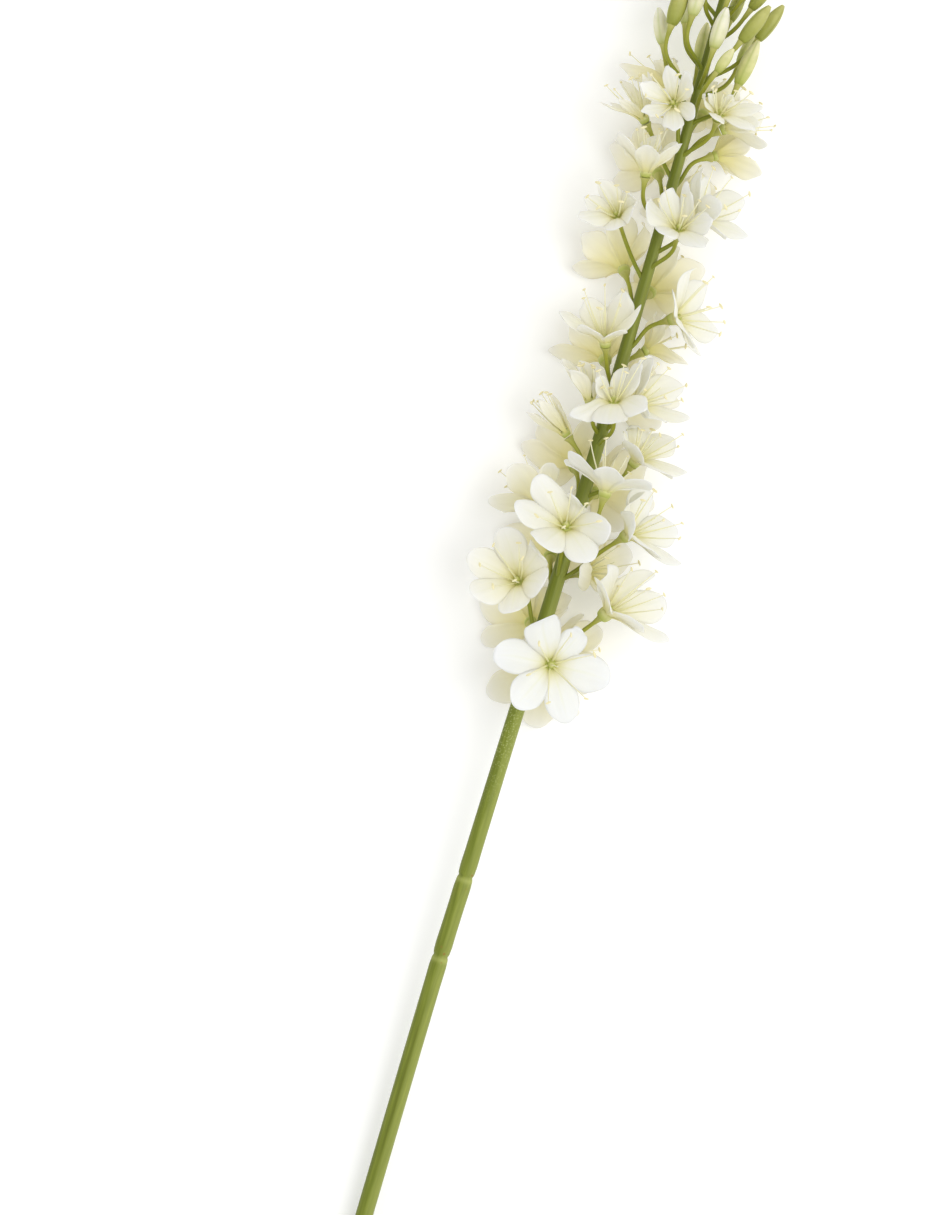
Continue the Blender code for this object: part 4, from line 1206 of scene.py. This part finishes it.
def scape_finish():
    """Scape: smooth fleshy stem with a waxy skin, olive green, in long soft streaks.

    It has painted shade on one side, in its groove and among the flowers, painted light on the other
    side, stipples below the flowers, brown flecks about the joints with a pale rim at each, and it is pale
    where it is cut.
    """
    made, tree, shader = new_material("waxy green stem", 0.5, 1.36)
    groove, stippled, joint, collar, cut = (
        add_node(tree, "ShaderNodeAttribute", {"attribute_name": name}).outputs["Fac"]
        for name in ("groove", "stippled", "joint", "collar", "cut")
    )
    place_at = add_node(tree, "ShaderNodeTexCoord").outputs["Object"]
    # Streaks about 1 mm wide and some 30 mm long.
    drawn_out = add_node(
        tree, "ShaderNodeMapping", values={"Scale": (1.0, 0.035, 1.0)}, links={"Vector": place_at},
    )
    streaks = add_node(
        tree, "ShaderNodeTexNoise", values={"Scale": 1 / (1.1 * MM), "Detail": 3.0},
        links={"Vector": drawn_out.outputs["Vector"]},
    )
    green = add_node(tree, "ShaderNodeValToRGB", links={"Fac": streaks.outputs["Fac"]})
    set_stops(green, SCAPE_GREEN)
    # Stipples 0.5 mm across.
    cells = add_node(
        tree, "ShaderNodeTexVoronoi", values={"Scale": 1 / (0.75 * MM)}, links={"Vector": place_at},
    )
    dots = add_node(
        tree, "ShaderNodeMapRange", values={"From Min": 0.42, "From Max": 0.25},
        links={"Value": cells.outputs["Distance"], "To Max": stippled},
    )
    # Brown flecks of 1 mm or less.
    spots = add_node(
        tree, "ShaderNodeTexVoronoi", values={"Scale": 1 / (2.6 * MM)}, links={"Vector": place_at},
    )
    flecks = add_node(
        tree, "ShaderNodeMapRange", values={"From Min": 0.24, "From Max": 0.14},
        links={"Value": spots.outputs["Distance"], "To Max": joint},
    )
    # From the bottom up: the painted shade (shaded side, groove, among the flowers), the pale rims with
    # painted light on the lit side, the stipples, the flecks and the cut.
    colour = green.outputs["Color"]
    layers = (
        ("#5c6410", groove), ("#b2b866", collar), ("#b4bd78", dots.outputs["Result"]),
        ("#8f6a2c", flecks.outputs["Result"]), ("#c4cb96", cut),
    )
    for code, share in layers:
        colour = add_node(
            tree, "ShaderNodeMix", {"data_type": "RGBA"}, {7: linear(code)}, {0: share, 6: colour},
        ).outputs[2]
    raised = add_node(
        tree, "ShaderNodeMath", {"operation": "ADD"},
        links={0: streaks.outputs["Fac"], 1: dots.outputs["Result"]},
    )
    bump = add_node(
        tree, "ShaderNodeBump", values={"Strength": 0.4, "Distance": 0.12 * MM},
        links={"Height": raised.outputs["Value"]},
    )
    tree.links.new(colour, shader.inputs["Base Color"])
    tree.links.new(bump.outputs["Normal"], shader.inputs["Normal"])
    return made


def toned_finish(name, stops, roughness, grain_size, grain_colour, source="tone", soft=0.0):
    """Soft plant tissue in one run of colours, with fine grain of its own size and colour.

    The run follows the attribute source, and soft is how far the light passes into it.
    """
    made, tree, shader = new_material(name, roughness)
    tone = add_node(tree, "ShaderNodeAttribute", {"attribute_name": source}).outputs["Fac"]
    run = add_node(tree, "ShaderNodeValToRGB", links={"Fac": tone})
    set_stops(run, stops)
    place_at = add_node(tree, "ShaderNodeTexCoord").outputs["Object"]
    grain = add_node(
        tree, "ShaderNodeTexNoise", values={"Scale": 1 / (grain_size * MM), "Detail": 3.0},
        links={"Vector": place_at},
    )
    dull = add_node(
        tree, "ShaderNodeMapRange", values={"From Min": 0.45, "To Max": 0.5},
        links={"Value": grain.outputs["Fac"]},
    )
    # A bud's outer petals each have a rib in the grain's colour.
    rib = add_node(tree, "ShaderNodeAttribute", {"attribute_name": "rib"}).outputs["Fac"]
    colour = run.outputs["Color"]
    for share in (dull.outputs["Result"], rib):
        colour = add_node(
            tree, "ShaderNodeMix", {"data_type": "RGBA"}, {7: linear(grain_colour)},
            {0: share, 6: colour},
        ).outputs[2]
    bump = add_node(
        tree, "ShaderNodeBump", values={"Strength": 0.3, "Distance": 0.1 * MM},
        links={"Height": grain.outputs["Fac"]},
    )
    tree.links.new(colour, shader.inputs["Base Color"])
    tree.links.new(bump.outputs["Normal"], shader.inputs["Normal"])
    shader.inputs["Subsurface Weight"].default_value = soft
    shader.inputs["Subsurface Radius"].default_value = (1.0, 0.9, 0.5)
    shader.inputs["Subsurface Scale"].default_value = 1.2 * MM
    return made


def floor_finish():
    """Studio light table: matt white acrylic with a faint tooth, a little lit from below."""
    made, tree, shader = new_material("matt white acrylic", 0.9)
    place_at = add_node(tree, "ShaderNodeTexCoord").outputs["Object"]
    tooth = add_node(
        tree, "ShaderNodeTexNoise", values={"Scale": 1 / (2 * MM), "Detail": 2.0},
        links={"Vector": place_at},
    )
    bump = add_node(
        tree, "ShaderNodeBump", values={"Strength": 0.05, "Distance": 0.05 * MM},
        links={"Height": tooth.outputs["Fac"]},
    )
    shader.inputs["Base Color"].default_value = linear("#fbfbfa")
    shader.inputs["Emission Color"].default_value = linear("#ffffff")
    shader.inputs["Emission Strength"].default_value = 0.12
    tree.links.new(bump.outputs["Normal"], shader.inputs["Normal"])
    return made


def build_spike():
    """Every piece of the spike, riding on the frame."""
    flowers = [Flower(i + 1, row) for i, row in enumerate(FLOWERS)]
    buds = [Bud(i + 1, row) for i, row in enumerate(BUDS)]
    items = flowers + buds
    stems, shapes = stems_tree(), shapes_tree()
    petal = petal_finish()
    filaments, anthers, pistils = [], [], []
    for flower in flowers:
        draw = random.Random(SEED * 100 + flower.number)
        room = Room(flower, items)
        sheets = [petal_fitted(flower, k, room) for k in range(6)]
        piece = flower_petals(flower, sheets, petal)
        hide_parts(f"floret_{flower.number:02d}")
        finish_piece(piece)
        for path in stamen_paths(flower, room, sheets, draw):
            filaments.append(path)
            end = unit(path[-1] - path[-2])
            lie = across(end, draw.uniform(0.0, 2 * math.pi))
            scale = draw.uniform(*ANTHER_LENGTH)
            tilted = unit(lie + end * draw.uniform(*ANTHER_LEAN))
            anthers.append((path[-1], tilted, end, (scale * ANTHER_WIDTH, scale * ANTHER_WIDTH, scale)))
        front = across(flower.axis, draw.uniform(0.0, math.pi))
        # A style that points down ends above the surface.
        fall = max(-flower.axis[2], 0.01)
        reach = min(flower.size, (flower.foot[2] - STAMEN_FLOOR) / fall / STYLE_LENGTH)
        pistils.append((flower.foot, flower.axis, front, (flower.size, flower.size, reach)))
    build_centres(stems, shapes, filaments, anthers, pistils)
    build_stem(stems, shapes, flowers, buds)
    build_buds(shapes, buds)


def finish_piece(piece):
    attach(piece, "root")


def build_centres(stems, shapes, filaments, anthers, pistils):
    """Filaments, anthers and pistils of all the flowers, one piece of each."""
    thread = toned_finish("pale filament", THREAD, 0.45, 0.5, "#d6cf8c", "along")
    radii = [[blend(STAMEN_RADIUS, i / STAMEN_STEPS) for i in range(len(path))] for path in filaments]
    made = grown("filaments", lines_mesh("filament_lines", filaments, radii), stems,
                 {"Sides": 7, "Finish": thread})
    finish_piece(made)
    pollen = toned_finish("mealy anther", ANTHER, 0.8, 0.4, "#d6c88a")
    finish_piece(set_out("anthers", anthers, anther_shape, shapes, pollen))
    heart = toned_finish("soft green flower centre", HEART, 0.45, 0.8, "#a3aa4c")
    finish_piece(set_out("pistils", pistils, pistil_shape, shapes, heart))


def build_stem(stems, shapes, flowers, buds):
    """The scape, the flower stalks, and the tip's small buds with theirs."""
    scape = make_object("scape", scape_mesh(), scape_finish())
    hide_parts("stem")
    finish_piece(scape)
    paths, radii = pedicel_lines(flowers, buds)
    tip_paths, tip_radii, spots = tip_parts()
    lines = lines_mesh("pedicel_lines", paths + tip_paths, radii + tip_radii)
    olive = toned_finish("smooth olive flower stalk", FLOWER_STALK, 0.42, 4.0, "#67751c", "along")
    made = grown("flower_stalks", lines, stems, {"Sides": 12, "Finish": olive})
    finish_piece(made)
    green = toned_finish("small green bud", TIP_BUD, 0.46, 3.0, "#76862c", soft=0.2)
    finish_piece(set_out("tip_buds", spots, bud_shape, shapes, green))


def build_buds(shapes, buds):
    """The larger buds, one piece each."""
    finishes = {
        colour: toned_finish(f"satin {colour} bud", BUD[colour], 0.46, 3.0, BUD_RIB[colour], soft=0.3)
        for colour in BUD
    }
    for bud in buds:
        length = np.linalg.norm(bud.tip - bud.foot) + BUD_LONGER
        front = across(bud.axis, BUD_TURN * bud.number)
        spot = (bud.foot - bud.axis * BUD_SUNK, bud.axis, front, (bud.width, bud.width, length))
        name = f"{bud.colour}_bud_{bud.number:02d}"
        made = set_out(name, [spot], bud_shape, shapes, finishes[bud.colour])
        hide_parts(f"bud_{bud.number:02d}")
        finish_piece(made)


def build_floor():
    half = FLOOR_HALF
    points = [(-half, -half, 0.0), (half, -half, 0.0), (half, half, 0.0), (-half, half, 0.0)]
    mesh = bpy.data.meshes.new("floor")
    mesh.from_pydata([tuple(c * MM for c in point) for point in points], [], [(0, 1, 2, 3)])
    make_object("floor", mesh, floor_finish())


def softbox(name, where, aim, size, watts):
    light = bpy.data.lights.new(name, "AREA")
    light.shape = "DISK"
    light.size = size
    light.energy = watts
    item = bpy.data.objects.new(name, light)
    item.location = where
    item.rotation_euler = (Vector(aim) - Vector(where)).to_track_quat("-Z", "Y").to_euler()
    bpy.context.scene.collection.objects.link(item)


def build_studio():
    """One large soft light from above right, and a pale surround."""
    softbox("key", KEY_AT, KEY_AIM, KEY_SIZE, KEY_WATTS)
    world = bpy.data.worlds.new("pale studio")
    bpy.context.scene.world = world
    world.use_nodes = True
    background = world.node_tree.nodes["Background"]
    background.inputs["Color"].default_value = linear("#ffffff")
    background.inputs["Strength"].default_value = SURROUND
    bpy.context.scene.view_settings.view_transform = "Standard"


def build_camera():
    """The photograph's view: from straight above, the spike leaning to the right."""
    camera = bpy.data.cameras.new("camera")
    camera.sensor_width = 36.0
    camera.lens = 36.0 * VIEW_DISTANCE / VIEW_HEIGHT
    camera.clip_end = 100.0
    item = bpy.data.objects.new("camera", camera)
    v, u, z = VIEW_CENTRE
    centre = Vector((v - ORIGIN_V, u - ORIGIN_U, z))
    item.location = (centre + Vector((0.0, 0.0, VIEW_DISTANCE))) * MM
    item.rotation_euler = (0.0, 0.0, math.radians(VIEW_LEAN))
    bpy.context.scene.collection.objects.link(item)
    bpy.context.scene.camera = item


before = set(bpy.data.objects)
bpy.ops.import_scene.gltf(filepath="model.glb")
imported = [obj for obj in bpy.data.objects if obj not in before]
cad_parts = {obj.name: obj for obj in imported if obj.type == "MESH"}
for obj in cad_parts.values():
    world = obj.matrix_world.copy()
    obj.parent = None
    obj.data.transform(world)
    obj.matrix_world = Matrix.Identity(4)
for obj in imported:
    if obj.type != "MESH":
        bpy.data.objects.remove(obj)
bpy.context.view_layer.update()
build_spike()
build_floor()
build_studio()
build_camera()
